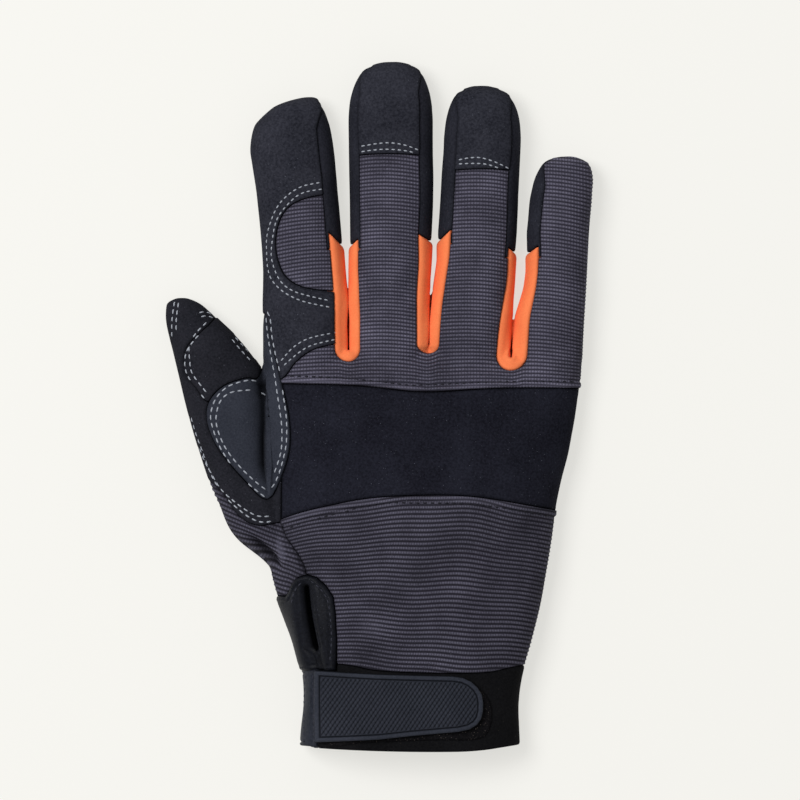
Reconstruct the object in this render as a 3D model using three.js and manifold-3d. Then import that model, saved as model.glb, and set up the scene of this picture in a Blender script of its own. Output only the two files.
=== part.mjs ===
// Mechanic glove, right hand, lying palm down with its fingers pointing along +Y.
// Millimetres, +Z up, the underside on z = 0 and the origin under the middle of the glove.
import * as THREE from 'three';
import { mergeVertices } from 'three/addons/utils/BufferGeometryUtils.js';
import Module from 'manifold-3d';

const wasm = await Module();
wasm.setup();

// Main sizes
const palmWidth = 116; // across the knuckles
const palmLength = 143; // cuff edge to the roots of the fingers
const handHeight = 28; // over the back of the hand
const seamHeight = 6; // where the palm panel meets the back panels
const wall = 1.8; // cloth and padding together
const gap = 0.3; // seam clearance between two panels
const fingerHeight = 18.5;
const fingerOverlap = 16; // how far a finger's tube runs back into the hand
const hiddenFullness = 0.78; // of that end inside the hand
const taperBend = 0.6; // below 1, a finger's width changes mostly near its root
const thumbLength = 100.7;
const thumbShare = 0.2655; // the thumb's width over the palm's
const thumbWidth = thumbShare * palmWidth;
const thumbHeight = 20;

// Raised layers, over the plain outer surface
const overlayRaise = 0.5; // sewn-on finger and thumb patches
const gussetRaise = 0.25; // puffed gussets between the fingers
const bindingRaise = 0.6; // bound edges of the vent and the cuff
const patchThickness = 0.9; // hook-and-loop field on the cuff
const tabThickness = 2.2; // moulded closing tab

// Details with sizes of their own
const tipInset = 7.5; // end of the side walls to the end of the finger
const capBow = 1.2; // how much a cap's lower edge bows
const slitWidth = 0.5; // cut between two gussets
const ventSlitTop = 1.6;
const ventSlitFoot = 3.2;
const cuffBindingWidth = 6;
const tabLength = 59;
const tabWidth = 26; // at its sewn end
const tabEndWidth = 20.4; // across its round end
const tabSink = 2.2; // fall of its upper edge towards the round end
const tabUnderVent = 0.6; // clear of the vent's binding
const patchOverhang = 4; // loop field that shows past the tab's round end
const patchInset = 2; // loop field short of the tab's long edges

const sidesOfFinger = 14;
const sidesOfHand = 24;
const curveSteps = 10;
const margin = 20; // how far a cutting outline runs past the glove
const cuffOverrun = 6; // how far the hollow runs past the cuff's edge
const topSquareness = 2.4; // 2 is an ellipse, more is squarer
const underSquareness = 3;
const underFlat = 1.15; // how far the round underside would reach past the flat it rests on

// Hand sections from the cuff to the finger roots: shares of palm length, width and hand height
const handRows = [
  { along: 0, middle: -0.041, width: 0.684, height: 0.88 },
  { along: 0.045, middle: -0.04, width: 0.678, height: 0.88 },
  { along: 0.129, middle: -0.036, width: 0.667, height: 0.89 },
  { along: 0.21, middle: -0.032, width: 0.69, height: 0.92 },
  { along: 0.281, middle: -0.033, width: 0.741, height: 0.96 },
  { along: 0.382, middle: -0.042, width: 0.822, height: 1 },
  { along: 0.458, middle: -0.047, width: 0.863, height: 1 },
  { along: 0.534, middle: -0.047, width: 0.894, height: 1 },
  { along: 0.635, middle: -0.041, width: 0.919, height: 0.98 },
  { along: 0.762, middle: -0.023, width: 0.953, height: 0.93 },
  { along: 0.889, middle: -0.009, width: 0.981, height: 0.85 },
  { along: 0.965, middle: -0.003, width: 0.994, height: 0.72 },
  { along: 1.012, middle: 0, width: 0.99, height: 0.5 },
];

// Fingers: share of the palm width at the root, and end width over root width; then in shares of
// the palm length the finger's length, the lean of its end to the side, the side shift of the very
// tip and the cap on its end; bend is how the lean gathers towards the end
const fingerRows = [
  {
    name: 'index', share: 0.268, length: 0.6559, taper: 0.965,
    lean: -0.0503, bend: 2, tip: 0.0587, cap: 0,
  },
  {
    name: 'middle', share: 0.2445, length: 0.7448, taper: 1.09,
    lean: 0.0077, bend: 1, tip: 0.0014, cap: 0.2378,
  },
  {
    name: 'ring', share: 0.269, length: 0.6839, taper: 0.92,
    lean: 0.0329, bend: 1, tip: -0.0098, cap: 0.2154,
  },
  {
    name: 'pinky', share: 0.2185, length: 0.5091, taper: 0.886,
    lean: 0.0406, bend: 1, tip: -0.0049, cap: 0,
  },
];

// Round end of a finger: distance from the tip and fullness, in shares of the finger's width
const tipRows = [
  { back: 0.65, full: 1 },
  { back: 0.45, full: 0.96 },
  { back: 0.3, full: 0.89 },
  { back: 0.18, full: 0.79 },
  { back: 0.09, full: 0.66 },
  { back: 0.03, full: 0.42 },
  { back: 0, full: 0.2 },
];
const fingerShafts = [0, 0.2, 0.4, 0.6]; // plain sections, shares of the way to the round end

// Thumb sections from its root to its tip: shares of thumb length, width and height, and the shift
// to the side in shares of the palm width
const thumbRows = [
  { along: 0, shift: 0, width: 0.26, height: 0.7 },
  { along: 0.054, shift: -0.0217, width: 0.424, height: 0.85 },
  { along: 0.126, shift: -0.0738, width: 0.624, height: 0.92 },
  { along: 0.27, shift: -0.1189, width: 0.776, height: 1 },
  { along: 0.45, shift: -0.1606, width: 0.906, height: 1 },
  { along: 0.629, shift: -0.1919, width: 1, height: 0.96 },
  { along: 0.737, shift: -0.2153, width: 0.988, height: 0.92 },
  { along: 0.809, shift: -0.2448, width: 0.882, height: 0.88 },
  { along: 0.881, shift: -0.2813, width: 0.729, height: 0.8 },
  { along: 0.917, shift: -0.3012, width: 0.624, height: 0.72 },
  { along: 0.953, shift: -0.3169, width: 0.506, height: 0.62 },
  { along: 0.989, shift: -0.3325, width: 0.294, height: 0.45 },
  { along: 1, shift: -0.3342, width: 0.12, height: 0.36 },
];
const thumbRoot = { across: -0.422, along: 0.4456 };

// Gussets between the fingers, by the finger on their left: where the slit ends and how far each
// arm reaches, from the finger roots, and the widths of both arms at their tops and at their feet,
// all in shares of the palm length
const gussetRows = [
  {
    after: 'index', slit: 0.0189,
    topL: 0.3147, headL: 0.0462, footL: 0.0315,
    topR: 0.2972, headR: 0.0259, footR: 0.0252,
  },
  {
    after: 'middle', slit: 0.0322,
    topL: 0.3112, headL: 0.0364, footL: 0.028,
    topR: 0.3217, headR: 0.0336, footR: 0.0224,
  },
  {
    after: 'ring', slit: 0.0014,
    topL: 0.2762, headL: 0.0294, footL: 0.0336,
    topR: 0.2797, headR: 0.0392, footR: 0.0378,
  },
];
const gussetFoot = 3.4; // gusset left under the slit
const footRound = { across: 0.55, along: 0.25 }; // corner of a foot, shares of arm width and foot

// Side walls beside the back strips: where each begins, as a share of the finger's width
const sideWallRows = [
  { name: 'side_wall_index', finger: 'index', side: 1, edge: 0.32, gusset: 'index' },
  { name: 'side_wall_middle_left', finger: 'middle', side: -1, edge: 0.39, gusset: 'index' },
  { name: 'side_wall_middle_right', finger: 'middle', side: 1, edge: 0.35, gusset: 'middle' },
  { name: 'side_wall_ring_left', finger: 'ring', side: -1, edge: 0.34, gusset: 'middle' },
  { name: 'side_wall_ring_right', finger: 'ring', side: 1, edge: 0.38, gusset: 'ring' },
  { name: 'side_wall_pinky', finger: 'pinky', side: -1, edge: 0.3, gusset: 'ring' },
];

// Lines across the back, from the thumb side over: shares of palm width and palm length
const upperHemLine = [
  { across: -0.65, along: 0.93 },
  { across: -0.43, along: 0.931 },
  { across: -0.197, along: 0.926 },
  { across: 0, along: 0.911 },
  { across: 0.28, along: 0.921 },
  { across: 0.65, along: 0.916 },
];
const lowerHemLine = [
  { across: -0.65, along: 0.5 },
  { across: -0.453, along: 0.585 },
  { across: -0.28, along: 0.625 },
  { across: -0.115, along: 0.645 },
  { across: 0.14, along: 0.646 },
  { across: 0.41, along: 0.611 },
  { across: 0.65, along: 0.58 },
];
const cuffLine = [
  { across: -0.65, along: 0.235 },
  { across: -0.28, along: 0.222 },
  { across: -0.12, along: 0.203 },
  { across: 0.18, along: 0.199 },
  { across: 0.32, along: 0.218 },
  { across: 0.65, along: 0.24 },
];
// Lower edge of the thumb's leather, and the seam that runs from its end down to the vent
const thumbHemLine = [
  { across: -1.1, along: 0.9 },
  { across: -0.69, along: 0.7 },
  { across: -0.58, along: 0.6 },
  { across: -0.52, along: 0.574 },
  { across: -0.45, along: 0.582 },
];
const thumbSeamLine = [
  { across: -0.45, along: 0.586 },
  { across: -0.43, along: 0.54 },
  { across: -0.385, along: 0.48 },
  { across: -0.37, along: 0.44 },
];

// The fold between thumb and hand, where the thumb's leather ends, and the top of the knit under it
const thumbFoldLine = [
  { across: -0.445, along: 0.72 },
  { across: -0.515, along: 1.11 },
  { across: -0.515, along: 1.3 },
  { across: -1.1, along: 1.3 },
];
const thumbKnitTop = [
  { across: -0.52, along: 0.66 },
  { across: -1.1, along: 1 },
  { across: -1.1, along: 0.3 },
  { across: -0.37, along: 0.3 },
];

// Closed outlines on the back: shares of palm width and palm length
const webPatchOutline = [
  { across: -0.486, along: 0.64 },
  { across: -0.56, along: 0.69 },
  { across: -0.64, along: 0.767 },
  { across: -0.675, along: 0.832 },
  { across: -0.67, along: 0.885 },
  { across: -0.625, along: 0.925 },
  { across: -0.556, along: 0.945 },
  { across: -0.51, along: 0.95 },
  { across: -0.505, along: 1.03 },
  { across: -0.496, along: 1.11 },
  { across: -0.48, along: 1.04 },
  { across: -0.45, along: 0.95 },
  { across: -0.425, along: 0.86 },
  { across: -0.42, along: 0.78 },
  { across: -0.44, along: 0.71 },
];
const thumbPadOutline = [
  { across: -0.58, along: 1.14 },
  { across: -0.67, along: 1.08 },
  { across: -0.735, along: 1.03 },
  { across: -0.748, along: 0.99 },
  { across: -0.742, along: 0.955 },
  { across: -0.71, along: 0.92 },
  { across: -0.67, along: 0.885 },
  { across: -0.56, along: 0.87 },
  { across: -0.5, along: 0.93 },
  { across: -0.5, along: 1.02 },
];
const indexInsetOutline = [
  { across: -0.304, along: 1.41 },
  { across: -0.36, along: 1.402 },
  { across: -0.415, along: 1.382 },
  { across: -0.448, along: 1.346 },
  { across: -0.463, along: 1.292 },
  { across: -0.455, along: 1.245 },
  { across: -0.429, along: 1.203 },
  { across: -0.37, along: 1.176 },
  { across: -0.26, along: 1.165 },
];
const indexHemLine = [
  { across: -0.62, along: 0.9 },
  { across: -0.5, along: 0.932 },
  { across: -0.44, along: 0.947 },
  { across: -0.4, along: 0.987 },
  { across: -0.348, along: 1.018 },
  { across: -0.29, along: 1.031 },
  { across: -0.25, along: 1.035 },
];
const ventOutline = [
  { across: -0.6, along: 0.4 },
  { across: -0.431, along: 0.392 },
  { across: -0.415, along: 0.42 },
  { across: -0.394, along: 0.44 },
  { across: -0.367, along: 0.447 },
  { across: -0.336, along: 0.441 },
  { across: -0.306, along: 0.42 },
  { across: -0.284, along: 0.392 },
  { across: -0.276, along: 0.35 },
  { across: -0.272, along: 0.286 },
  { across: -0.275, along: 0.21 },
  { across: -0.6, along: 0.21 },
];
const ventSlitLine = [
  { across: -0.37, along: 0.415 },
  { across: -0.364, along: 0.365 },
  { across: -0.35, along: 0.3 },
  { across: -0.326, along: 0.205 },
];

// Points on the glove, with the cuff's edge on y = 0
const place = ({ across, along }) => new THREE.Vector2(across * palmWidth, along * palmLength);
const curveThrough = (rows, steps = curveSteps) => new THREE.SplineCurve(rows.map(place)).getPoints(steps);
const mix = THREE.MathUtils.lerp;

// A table row with some of its columns turned from shares of the palm length into lengths
const inLengths = (row, names) => Object.fromEntries(
  Object.entries(row).map(([name, value]) => [name, names.includes(name) ? value * palmLength : value]),
);

// Finger layout from the shares of the palm width
let runningEdge = -palmWidth / 2;
const fingers = fingerRows.map((row) => {
  const rootWidth = row.share * palmWidth;
  const lengths = inLengths(row, ['length', 'lean', 'tip', 'cap']);
  const finger = { ...lengths, rootWidth, left: runningEdge, right: runningEdge + rootWidth };
  runningEdge += rootWidth;
  return finger;
});
const fingerNamed = (name) => fingers.find((finger) => finger.name === name);

// Fullness of the round end at a distance from the tip
function fullnessAt(finger, back) {
  const share = back / (finger.rootWidth * finger.taper);
  const outer = tipRows.findIndex((row) => row.back <= share);
  if (outer <= 0) return outer === 0 ? 1 : tipRows[tipRows.length - 1].full;
  const from = tipRows[outer];
  const to = tipRows[outer - 1];
  return mix(from.full, to.full, (share - from.back) / (to.back - from.back));
}

function middleAt(finger, reach) {
  const share = THREE.MathUtils.clamp(reach / finger.length, 0, 1);
  const root = (finger.left + finger.right) / 2;
  const full = fullnessAt(finger, finger.length - reach);
  return root + finger.lean * share ** finger.bend + finger.tip * (1 - full);
}

function widthAt(finger, reach) {
  const share = THREE.MathUtils.clamp(reach / finger.length, 0, 1);
  const plain = finger.rootWidth * mix(1, finger.taper, share ** taperBend) - slitWidth;
  return plain * fullnessAt(finger, finger.length - reach);
}

// One ring of points across the glove: a rounded top over the seam, a flattened underside
function ring({ y, middle, width, top, under, grow, sides }) {
  const points = [];
  for (let side = 0; side < sides; side += 1) {
    const turn = (side / sides) * Math.PI * 2;
    const cos = Math.cos(turn);
    const sin = Math.sin(turn);
    const square = sin >= 0 ? topSquareness : underSquareness;
    const reach = Math.abs(cos) ** (2 / square) * (width / 2 + grow);
    const rise = Math.abs(sin) ** (2 / square) * ((sin >= 0 ? top : under) + grow);
    const z = Math.max(seamHeight + Math.sign(sin) * rise, -grow);
    points.push(new THREE.Vector3(middle + Math.sign(cos) * reach, y, z));
  }
  return points;
}

const asSolid = (geometry) => new wasm.Manifold(new wasm.Mesh({
  numProp: 3,
  vertProperties: new Float32Array(geometry.attributes.position.array),
  triVerts: new Uint32Array(geometry.index.array),
}));

// A closed tube through rings that follow each other along +Y
function tubeThrough(rings) {
  const sides = rings[0].length;
  const points = rings.flat();
  const index = [];
  for (let row = 0; row < rings.length - 1; row += 1) {
    for (let side = 0; side < sides; side += 1) {
      const next = (side + 1) % sides;
      const a = row * sides + side;
      const b = row * sides + next;
      index.push(a, a + sides, b, b, a + sides, b + sides);
    }
  }
  for (const [row, flip] of [[0, false], [rings.length - 1, true]]) {
    const hub = points.length;
    const centre = new THREE.Vector3();
    rings[row].forEach((point) => centre.add(point));
    points.push(centre.divideScalar(sides));
    for (let side = 0; side < sides; side += 1) {
      const a = row * sides + side;
      const b = row * sides + ((side + 1) % sides);
      index.push(hub, flip ? b : a, flip ? a : b);
    }
  }
  const geometry = new THREE.BufferGeometry().setFromPoints(points);
  geometry.setIndex(index);
  return asSolid(geometry);
}

function handTube(grow) {
  const underFull = seamHeight * underFlat;
  const rings = handRows.map((row, order) => {
    let y = row.along * palmLength;
    if (order === 0) y -= grow < 0 ? cuffOverrun : 0;
    if (order === handRows.length - 1) y += grow;
    return ring({
      y,
      middle: row.middle * palmWidth,
      width: row.width * palmWidth,
      top: row.height * handHeight - seamHeight,
      under: underFull,
      grow,
      sides: sidesOfHand,
    });
  });
  return tubeThrough(rings);
}

function fingerTube(finger, grow) {
  const endWidth = finger.rootWidth * finger.taper;
  const roundStart = finger.length - tipRows[0].back * endWidth;
  const reaches = [
    -fingerOverlap,
    ...fingerShafts.map((share) => share * roundStart),
    ...tipRows.map((row) => finger.length - row.back * endWidth),
  ];
  const rings = reaches.map((reach) => {
    const full = reach < 0 ? hiddenFullness : fullnessAt(finger, finger.length - reach);
    const stretch = 1 + (reach > 0 ? grow / finger.length : 0);
    return ring({
      y: palmLength + reach * stretch,
      middle: middleAt(finger, reach),
      width: widthAt(finger, reach) * (reach < 0 ? hiddenFullness : 1),
      top: (fingerHeight - seamHeight) * full,
      under: seamHeight * underFlat * full,
      grow,
      sides: sidesOfFinger,
    });
  });
  return tubeThrough(rings);
}

function thumbTube(grow) {
  const rings = thumbRows.map((row) => ring({
    y: thumbRoot.along * palmLength + row.along * (thumbLength + grow),
    middle: (thumbRoot.across + row.shift) * palmWidth,
    width: row.width * thumbWidth,
    top: row.height * thumbHeight - seamHeight,
    under: seamHeight * Math.min(underFlat, row.width + row.height),
    grow,
    sides: sidesOfFinger,
  }));
  return tubeThrough(rings);
}

// The whole glove, grown outwards or inwards from its plain outer surface
function form(grow) {
  const tubes = [...fingers.map((finger) => fingerTube(finger, grow)), thumbTube(grow)];
  return tubes.reduce((whole, tube) => whole.add(tube), handTube(grow));
}

const hollow = form(-wall);
const shells = new Map();
function shell(raise) {
  if (!shells.has(raise)) shells.set(raise, form(raise).subtract(hollow));
  return shells.get(raise);
}

// An outline moved outwards by a distance, corner by corner
function grown(outline, by) {
  const points = THREE.ShapeUtils.isClockWise(outline) ? [...outline].reverse() : outline;
  if (by === 0) return points;
  return points.map((point, order) => {
    const before = points[(order + points.length - 1) % points.length];
    const after = points[(order + 1) % points.length];
    const inward = point.clone().sub(before).normalize();
    const outward = after.clone().sub(point).normalize();
    const normal = new THREE.Vector2(inward.y + outward.y, -inward.x - outward.x).normalize();
    const miter = Math.max(normal.x * inward.y - normal.y * inward.x, 0.5);
    return point.clone().addScaledVector(normal, by / miter);
  });
}

const lowest = -margin;
const highest = handHeight + margin;
const overSeam = seamHeight + gap / 2;
const underSeam = seamHeight - gap / 2;
function prism(outline, from = lowest, to = highest) {
  const shape = new THREE.Shape(outline);
  const geometry = new THREE.ExtrudeGeometry(shape, { depth: to - from, bevelEnabled: false });
  geometry.deleteAttribute('normal');
  geometry.deleteAttribute('uv');
  geometry.translate(0, 0, from);
  return asSolid(mergeVertices(geometry));
}

// Outlines between two lines across the glove
const between = (lower, upper) => [...lower, ...[...upper].reverse()];
const levelLine = (y) => [-1, 1].map((side) => new THREE.Vector2(side * (palmWidth + margin), y));

const farAlong = palmLength + Math.max(...fingers.map((finger) => finger.length)) + margin;
const cuffEdge = curveThrough(cuffLine);
const lowerHem = curveThrough(lowerHemLine);
const upperHem = curveThrough(upperHemLine);
const thumbHem = curveThrough(thumbHemLine);
const thumbSeam = curveThrough(thumbSeamLine);

// Between two fingers, from under the slit to past the ends of both arms
function slitAt(left, right, reach) {
  const leftEdge = middleAt(left, reach) + widthAt(left, reach) / 2;
  const rightEdge = middleAt(right, reach) - widthAt(right, reach) / 2;
  return new THREE.Vector2((leftEdge + rightEdge) / 2, palmLength + reach);
}

const gussetLengths = ['slit', 'topL', 'headL', 'footL', 'topR', 'headR', 'footR'];
const gussets = gussetRows.map((shares, order) => {
  const row = inLengths(shares, gussetLengths);
  const left = fingers[order];
  const right = fingers[order + 1];
  const arm = (side, top, head, foot) => {
    const points = [];
    for (let step = 0; step <= curveSteps / 2; step += 1) {
      const share = step / (curveSteps / 2);
      const point = slitAt(left, right, mix(row.slit, top, share));
      point.x += side * mix(foot, head, share);
      points.push(point);
    }
    return points;
  };
  const footMiddle = slitAt(left, right, row.slit - gussetFoot);
  const footRise = gussetFoot * footRound.along;
  const footCorner = (width) => footMiddle.clone().add({ x: width * footRound.across, y: footRise });
  const leftArm = arm(-1, row.topL, row.headL, row.footL);
  const rightArm = arm(1, row.topR, row.headR, row.footR);
  const mouth = slitAt(left, right, Math.min(row.topL, row.topR) - gussetFoot);
  const rightSide = [...rightArm.reverse(), footCorner(row.footR), footMiddle];
  const outline = [footCorner(-row.footL), ...leftArm, mouth, ...rightSide];
  const slit = [];
  for (let step = 0; step <= curveSteps / 2; step += 1) {
    slit.push(slitAt(left, right, mix(row.slit, farAlong - palmLength, (step / (curveSteps / 2)) ** 2)));
  }
  return { ...row, outline, slit };
});
const gussetNamed = (name) => gussets.find((gusset) => gusset.after === name);

// A strip of a given width along a line
function ribbon(line, startWidth, endWidth = startWidth) {
  const sideAt = (side) => line.map((point, order) => {
    const width = mix(startWidth, endWidth, order / (line.length - 1));
    return new THREE.Vector2(point.x + (side * width) / 2, point.y);
  });
  return between(sideAt(-1), sideAt(1));
}
const gussetSlits = gussets.map((gusset) => prism(ribbon(gusset.slit, slitWidth), underSeam));

// The line between a finger and its neighbour on one side, from a reach to past the finger's end
function fingerSide(finger, side, reach) {
  const order = fingers.indexOf(finger);
  const left = fingers[order + Math.min(side, 0)];
  const right = fingers[order + Math.max(side, 0)];
  const points = [];
  for (let step = 0; step <= curveSteps; step += 1) {
    points.push(slitAt(left, right, mix(reach, finger.length + margin, step / curveSteps)));
  }
  return points;
}

// A finger's cap: a bowed lower edge and all that lies past it
function capOutline(finger) {
  const reach = finger.length - finger.cap;
  const left = fingerSide(finger, -1, reach);
  const right = fingerSide(finger, 1, reach);
  const points = [...left].reverse();
  for (let step = 1; step < curveSteps / 2; step += 1) {
    const share = step / (curveSteps / 2);
    const bow = capBow * (1 - (share * 2 - 1) ** 2);
    points.push(new THREE.Vector2(mix(left[0].x, right[0].x, share), palmLength + reach + bow));
  }
  return [...points, ...right];
}

function sideWallOutline(row) {
  const finger = fingerNamed(row.finger);
  const leftOfSlit = fingerNamed(row.gusset);
  const rightOfSlit = fingers[fingers.indexOf(leftOfSlit) + 1];
  const gusset = gussetNamed(row.gusset);
  const from = Math.min(gusset.topL, gusset.topR) - gussetFoot;
  const to = finger.length - tipInset;
  const inner = [];
  const outer = [];
  for (let step = 0; step <= curveSteps; step += 1) {
    const reach = mix(from, to, step / curveSteps);
    const middle = middleAt(finger, reach);
    inner.push(new THREE.Vector2(middle + row.side * row.edge * widthAt(finger, reach), palmLength + reach));
    outer.push(slitAt(leftOfSlit, rightOfSlit, reach));
  }
  return between(outer, inner);
}

// Back of the index finger above the hem that crosses its knuckle
const indexHem = curveThrough(indexHemLine);
const indexSide = fingerSide(fingerNamed('index'), 1, indexHem[indexHem.length - 1].y - palmLength);
const indexOutline = [
  ...indexHem,
  ...indexSide,
  new THREE.Vector2(indexHem[0].x, palmLength + fingerNamed('index').length + margin),
];

const closedCurve = (rows, steps) => {
  const points = rows.map(place);
  const curve = new THREE.CatmullRomCurve3(points.map(({ x, y }) => new THREE.Vector3(x, y, 0)), true);
  return curve.getPoints(steps).slice(0, -1).map(({ x, y }) => new THREE.Vector2(x, y));
};

const cuffBindingEdge = (handRows[0].middle - handRows[0].width / 2) * palmWidth + cuffBindingWidth;
const cuffBindingOutline = [
  new THREE.Vector2(-palmWidth, -margin),
  new THREE.Vector2(cuffBindingEdge, -margin),
  new THREE.Vector2(cuffBindingEdge, ventOutline[ventOutline.length - 1].along * palmLength - gap),
  new THREE.Vector2(-palmWidth, ventOutline[ventOutline.length - 1].along * palmLength - gap),
];

// Thumb leather above the thumb hem, and the knit below it beside the seam
const thumbOutline = [...thumbHem, ...thumbFoldLine.map(place)];
const thumbKnitOutline = [...[...thumbSeam].reverse(), ...thumbKnitTop.map(place)];

// Regions of the back in the order in which they take their place, upper ones first
const regions = [];
function addRegion(name, outline, options) {
  regions.push({ name, outline, raise: 0, rough: 0.85, roundTheWrist: false, cuts: [], ...options });
}
const suede = 0x24262e;
const knit = 0x4a4852;
const orange = 0xf26b2a;
const leather = 0x262c36;
const neoprene = 0x141416;
const twill = 0x2b303a;

gussets.forEach((gusset, order) => {
  const name = `gusset_${gusset.after}_${fingers[order + 1].name}`;
  addRegion(name, gusset.outline, { raise: gussetRaise, colour: orange, cuts: [gussetSlits[order]] });
});
sideWallRows.forEach((row) => addRegion(row.name, sideWallOutline(row), { colour: leather }));
const ventSlit = prism(ribbon(curveThrough(ventSlitLine), ventSlitTop, ventSlitFoot), overSeam);
addRegion('cuff_binding', cuffBindingOutline, { raise: bindingRaise, colour: leather, roundTheWrist: true });
addRegion('vent_binding', ventOutline.map(place), {
  raise: bindingRaise,
  colour: leather,
  cuts: [ventSlit],
});
addRegion('web_patch', closedCurve(webPatchOutline, 24), { raise: overlayRaise, colour: twill });
addRegion('thumb_pad', thumbPadOutline.map(place), { raise: overlayRaise, colour: suede });
addRegion('index_inset', indexInsetOutline.map(place), { colour: knit });
addRegion('tip_cap_middle', capOutline(fingerNamed('middle')), { raise: overlayRaise, colour: suede });
addRegion('tip_cap_ring', capOutline(fingerNamed('ring')), { raise: overlayRaise, colour: suede });
addRegion('thumb_leather', thumbOutline, { colour: suede });
addRegion('index_overlay', indexOutline, { raise: overlayRaise, colour: suede });
addRegion('thumb_base_knit', thumbKnitOutline, { colour: knit });
addRegion('cuff_band', between(levelLine(-margin), cuffEdge), { colour: neoprene, roundTheWrist: true });
addRegion('back_lower_knit', between(cuffEdge, lowerHem), { colour: knit });
addRegion('knuckle_band', between(lowerHem, upperHem), { colour: neoprene });
addRegion('back_upper_knit', between(upperHem, levelLine(farAlong)), { colour: knit });

const glove = new THREE.Group();
glove.name = 'mechanic_glove';
function addPiece(name, solid, colour, rough) {
  const { vertProperties, triVerts } = solid.getMesh();
  const geometry = new THREE.BufferGeometry();
  geometry.setAttribute('position', new THREE.BufferAttribute(vertProperties, 3));
  geometry.setIndex(new THREE.BufferAttribute(triVerts, 1));
  geometry.computeVertexNormals();
  const material = new THREE.MeshStandardMaterial({ color: colour, roughness: rough, metalness: 0 });
  const mesh = new THREE.Mesh(geometry, material);
  mesh.name = name;
  glove.add(mesh);
}

// Back panels: each takes its outline, less the outlines that came before it
const taken = [];
regions.forEach((region) => {
  const reach = prism(grown(region.outline, 0), region.roundTheWrist ? lowest : overSeam);
  const whole = shell(region.raise).intersect(reach);
  const solid = [...taken, ...region.cuts].reduce((rest, cutter) => rest.subtract(cutter), whole);
  addPiece(region.name, solid, region.colour, region.rough);
  taken.push(prism(grown(region.outline, gap), region.roundTheWrist ? lowest : underSeam));
});

// Palm panel: all of the underside from the cuff to the finger ends
const palmReach = prism(between(levelLine(0), levelLine(farAlong)), lowest, underSeam);
const palmWhole = shell(0).intersect(palmReach);
addPiece('palm_panel', taken.reduce((rest, cutter) => rest.subtract(cutter), palmWhole), suede, 0.9);

// Closing tab over its loop field, both following the cuff's surface
const tabLeft = cuffBindingEdge + gap;
const tabTop = ventOutline[ventOutline.length - 1].along * palmLength - tabUnderVent;
function tabOutline(inset, overhang, end) {
  const radius = tabEndWidth / 2 - inset;
  const middleY = tabTop - tabSink - tabEndWidth / 2;
  const endX = tabLeft + end - radius - inset + overhang;
  const points = [
    new THREE.Vector2(tabLeft + inset, tabTop - inset),
    new THREE.Vector2(tabLeft + inset, tabTop - tabWidth + inset),
  ];
  for (let step = 0; step <= curveSteps; step += 1) {
    const turn = -Math.PI / 2 + (step / curveSteps) * Math.PI;
    points.push(new THREE.Vector2(endX + radius * Math.cos(turn), middleY + radius * Math.sin(turn)));
  }
  return points;
}
const layer = (from, to) => form(to).subtract(form(from));
const patchSolid = layer(gap, gap + patchThickness);
const patchOutline = tabOutline(patchInset, patchInset + patchOverhang, tabLength);
addPiece('loop_patch', patchSolid.intersect(prism(patchOutline, overSeam)), neoprene, 0.95);
const tabFrom = gap + patchThickness + gap;
const tabSolid = layer(tabFrom, tabFrom + tabThickness);
addPiece('strap_tab', tabSolid.intersect(prism(tabOutline(0, 0, tabLength), overSeam)), leather, 0.6);

// Origin under the middle of the glove
const box = new THREE.Box3().setFromObject(glove);
const centre = box.getCenter(new THREE.Vector3());
glove.position.set(-centre.x, -centre.y, -box.min.z);

export default glove;
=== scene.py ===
import math

import bpy
import numpy as np
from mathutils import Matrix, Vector
from mathutils.bvhtree import BVHTree


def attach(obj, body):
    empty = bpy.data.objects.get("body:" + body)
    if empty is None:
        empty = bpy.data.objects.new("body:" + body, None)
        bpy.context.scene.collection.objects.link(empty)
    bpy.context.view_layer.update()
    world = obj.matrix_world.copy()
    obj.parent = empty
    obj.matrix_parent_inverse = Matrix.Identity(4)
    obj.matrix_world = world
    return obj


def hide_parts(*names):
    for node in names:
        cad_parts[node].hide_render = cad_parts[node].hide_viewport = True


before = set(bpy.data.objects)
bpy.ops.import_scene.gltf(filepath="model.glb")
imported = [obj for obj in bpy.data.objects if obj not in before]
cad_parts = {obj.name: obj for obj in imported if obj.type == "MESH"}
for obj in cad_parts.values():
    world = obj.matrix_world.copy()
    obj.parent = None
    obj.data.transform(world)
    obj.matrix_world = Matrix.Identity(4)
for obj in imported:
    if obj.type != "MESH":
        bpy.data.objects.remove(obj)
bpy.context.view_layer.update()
print("frame loaded")

# Shapes are worked out in millimetres with the cuff's edge on y = 0, then moved into the frame.
glove = {
    "palmWidth": 116.0,
    "palmLength": 143.0,
    "handHeight": 28.0,
    "seamHeight": 6.0,
    "wall": 1.5,
    "gap": 0.3,  # between two pieces
    "tuck": 0.6,  # how far a piece reaches under its neighbour
    "fingerHeight": 18.5,
    "fingerOverlap": 16.0,
    "hiddenFullness": 0.78,
    "taperBend": 0.6,
    "slitWidth": 0.5,
    "gussetDrop": 4.3,  # how far the gussets reach under the seam
    "armNotch": 3.4,  # how far the notch between a gusset's arms lies under their tops
    "thumbLength": 100.7,
    "thumbWidth": 30.8,
    "thumbHeight": 20.0,
    "thumbRoot": (-0.422, 0.4456),
    "topSquareness": 2.4,
    "underSquareness": 3.0,
    "underFlat": 1.15,
    "handSides": 180,
    "fingerSides": 72,
    "surfaceStep": 0.75,  # edge of the form's triangles
    "softening": 5,  # rounds that smooth the form
}
frameShift = np.array([16.189, -125.0, 0.0])
palmWidth, palmLength, seamHeight = glove["palmWidth"], glove["palmLength"], glove["seamHeight"]

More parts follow.
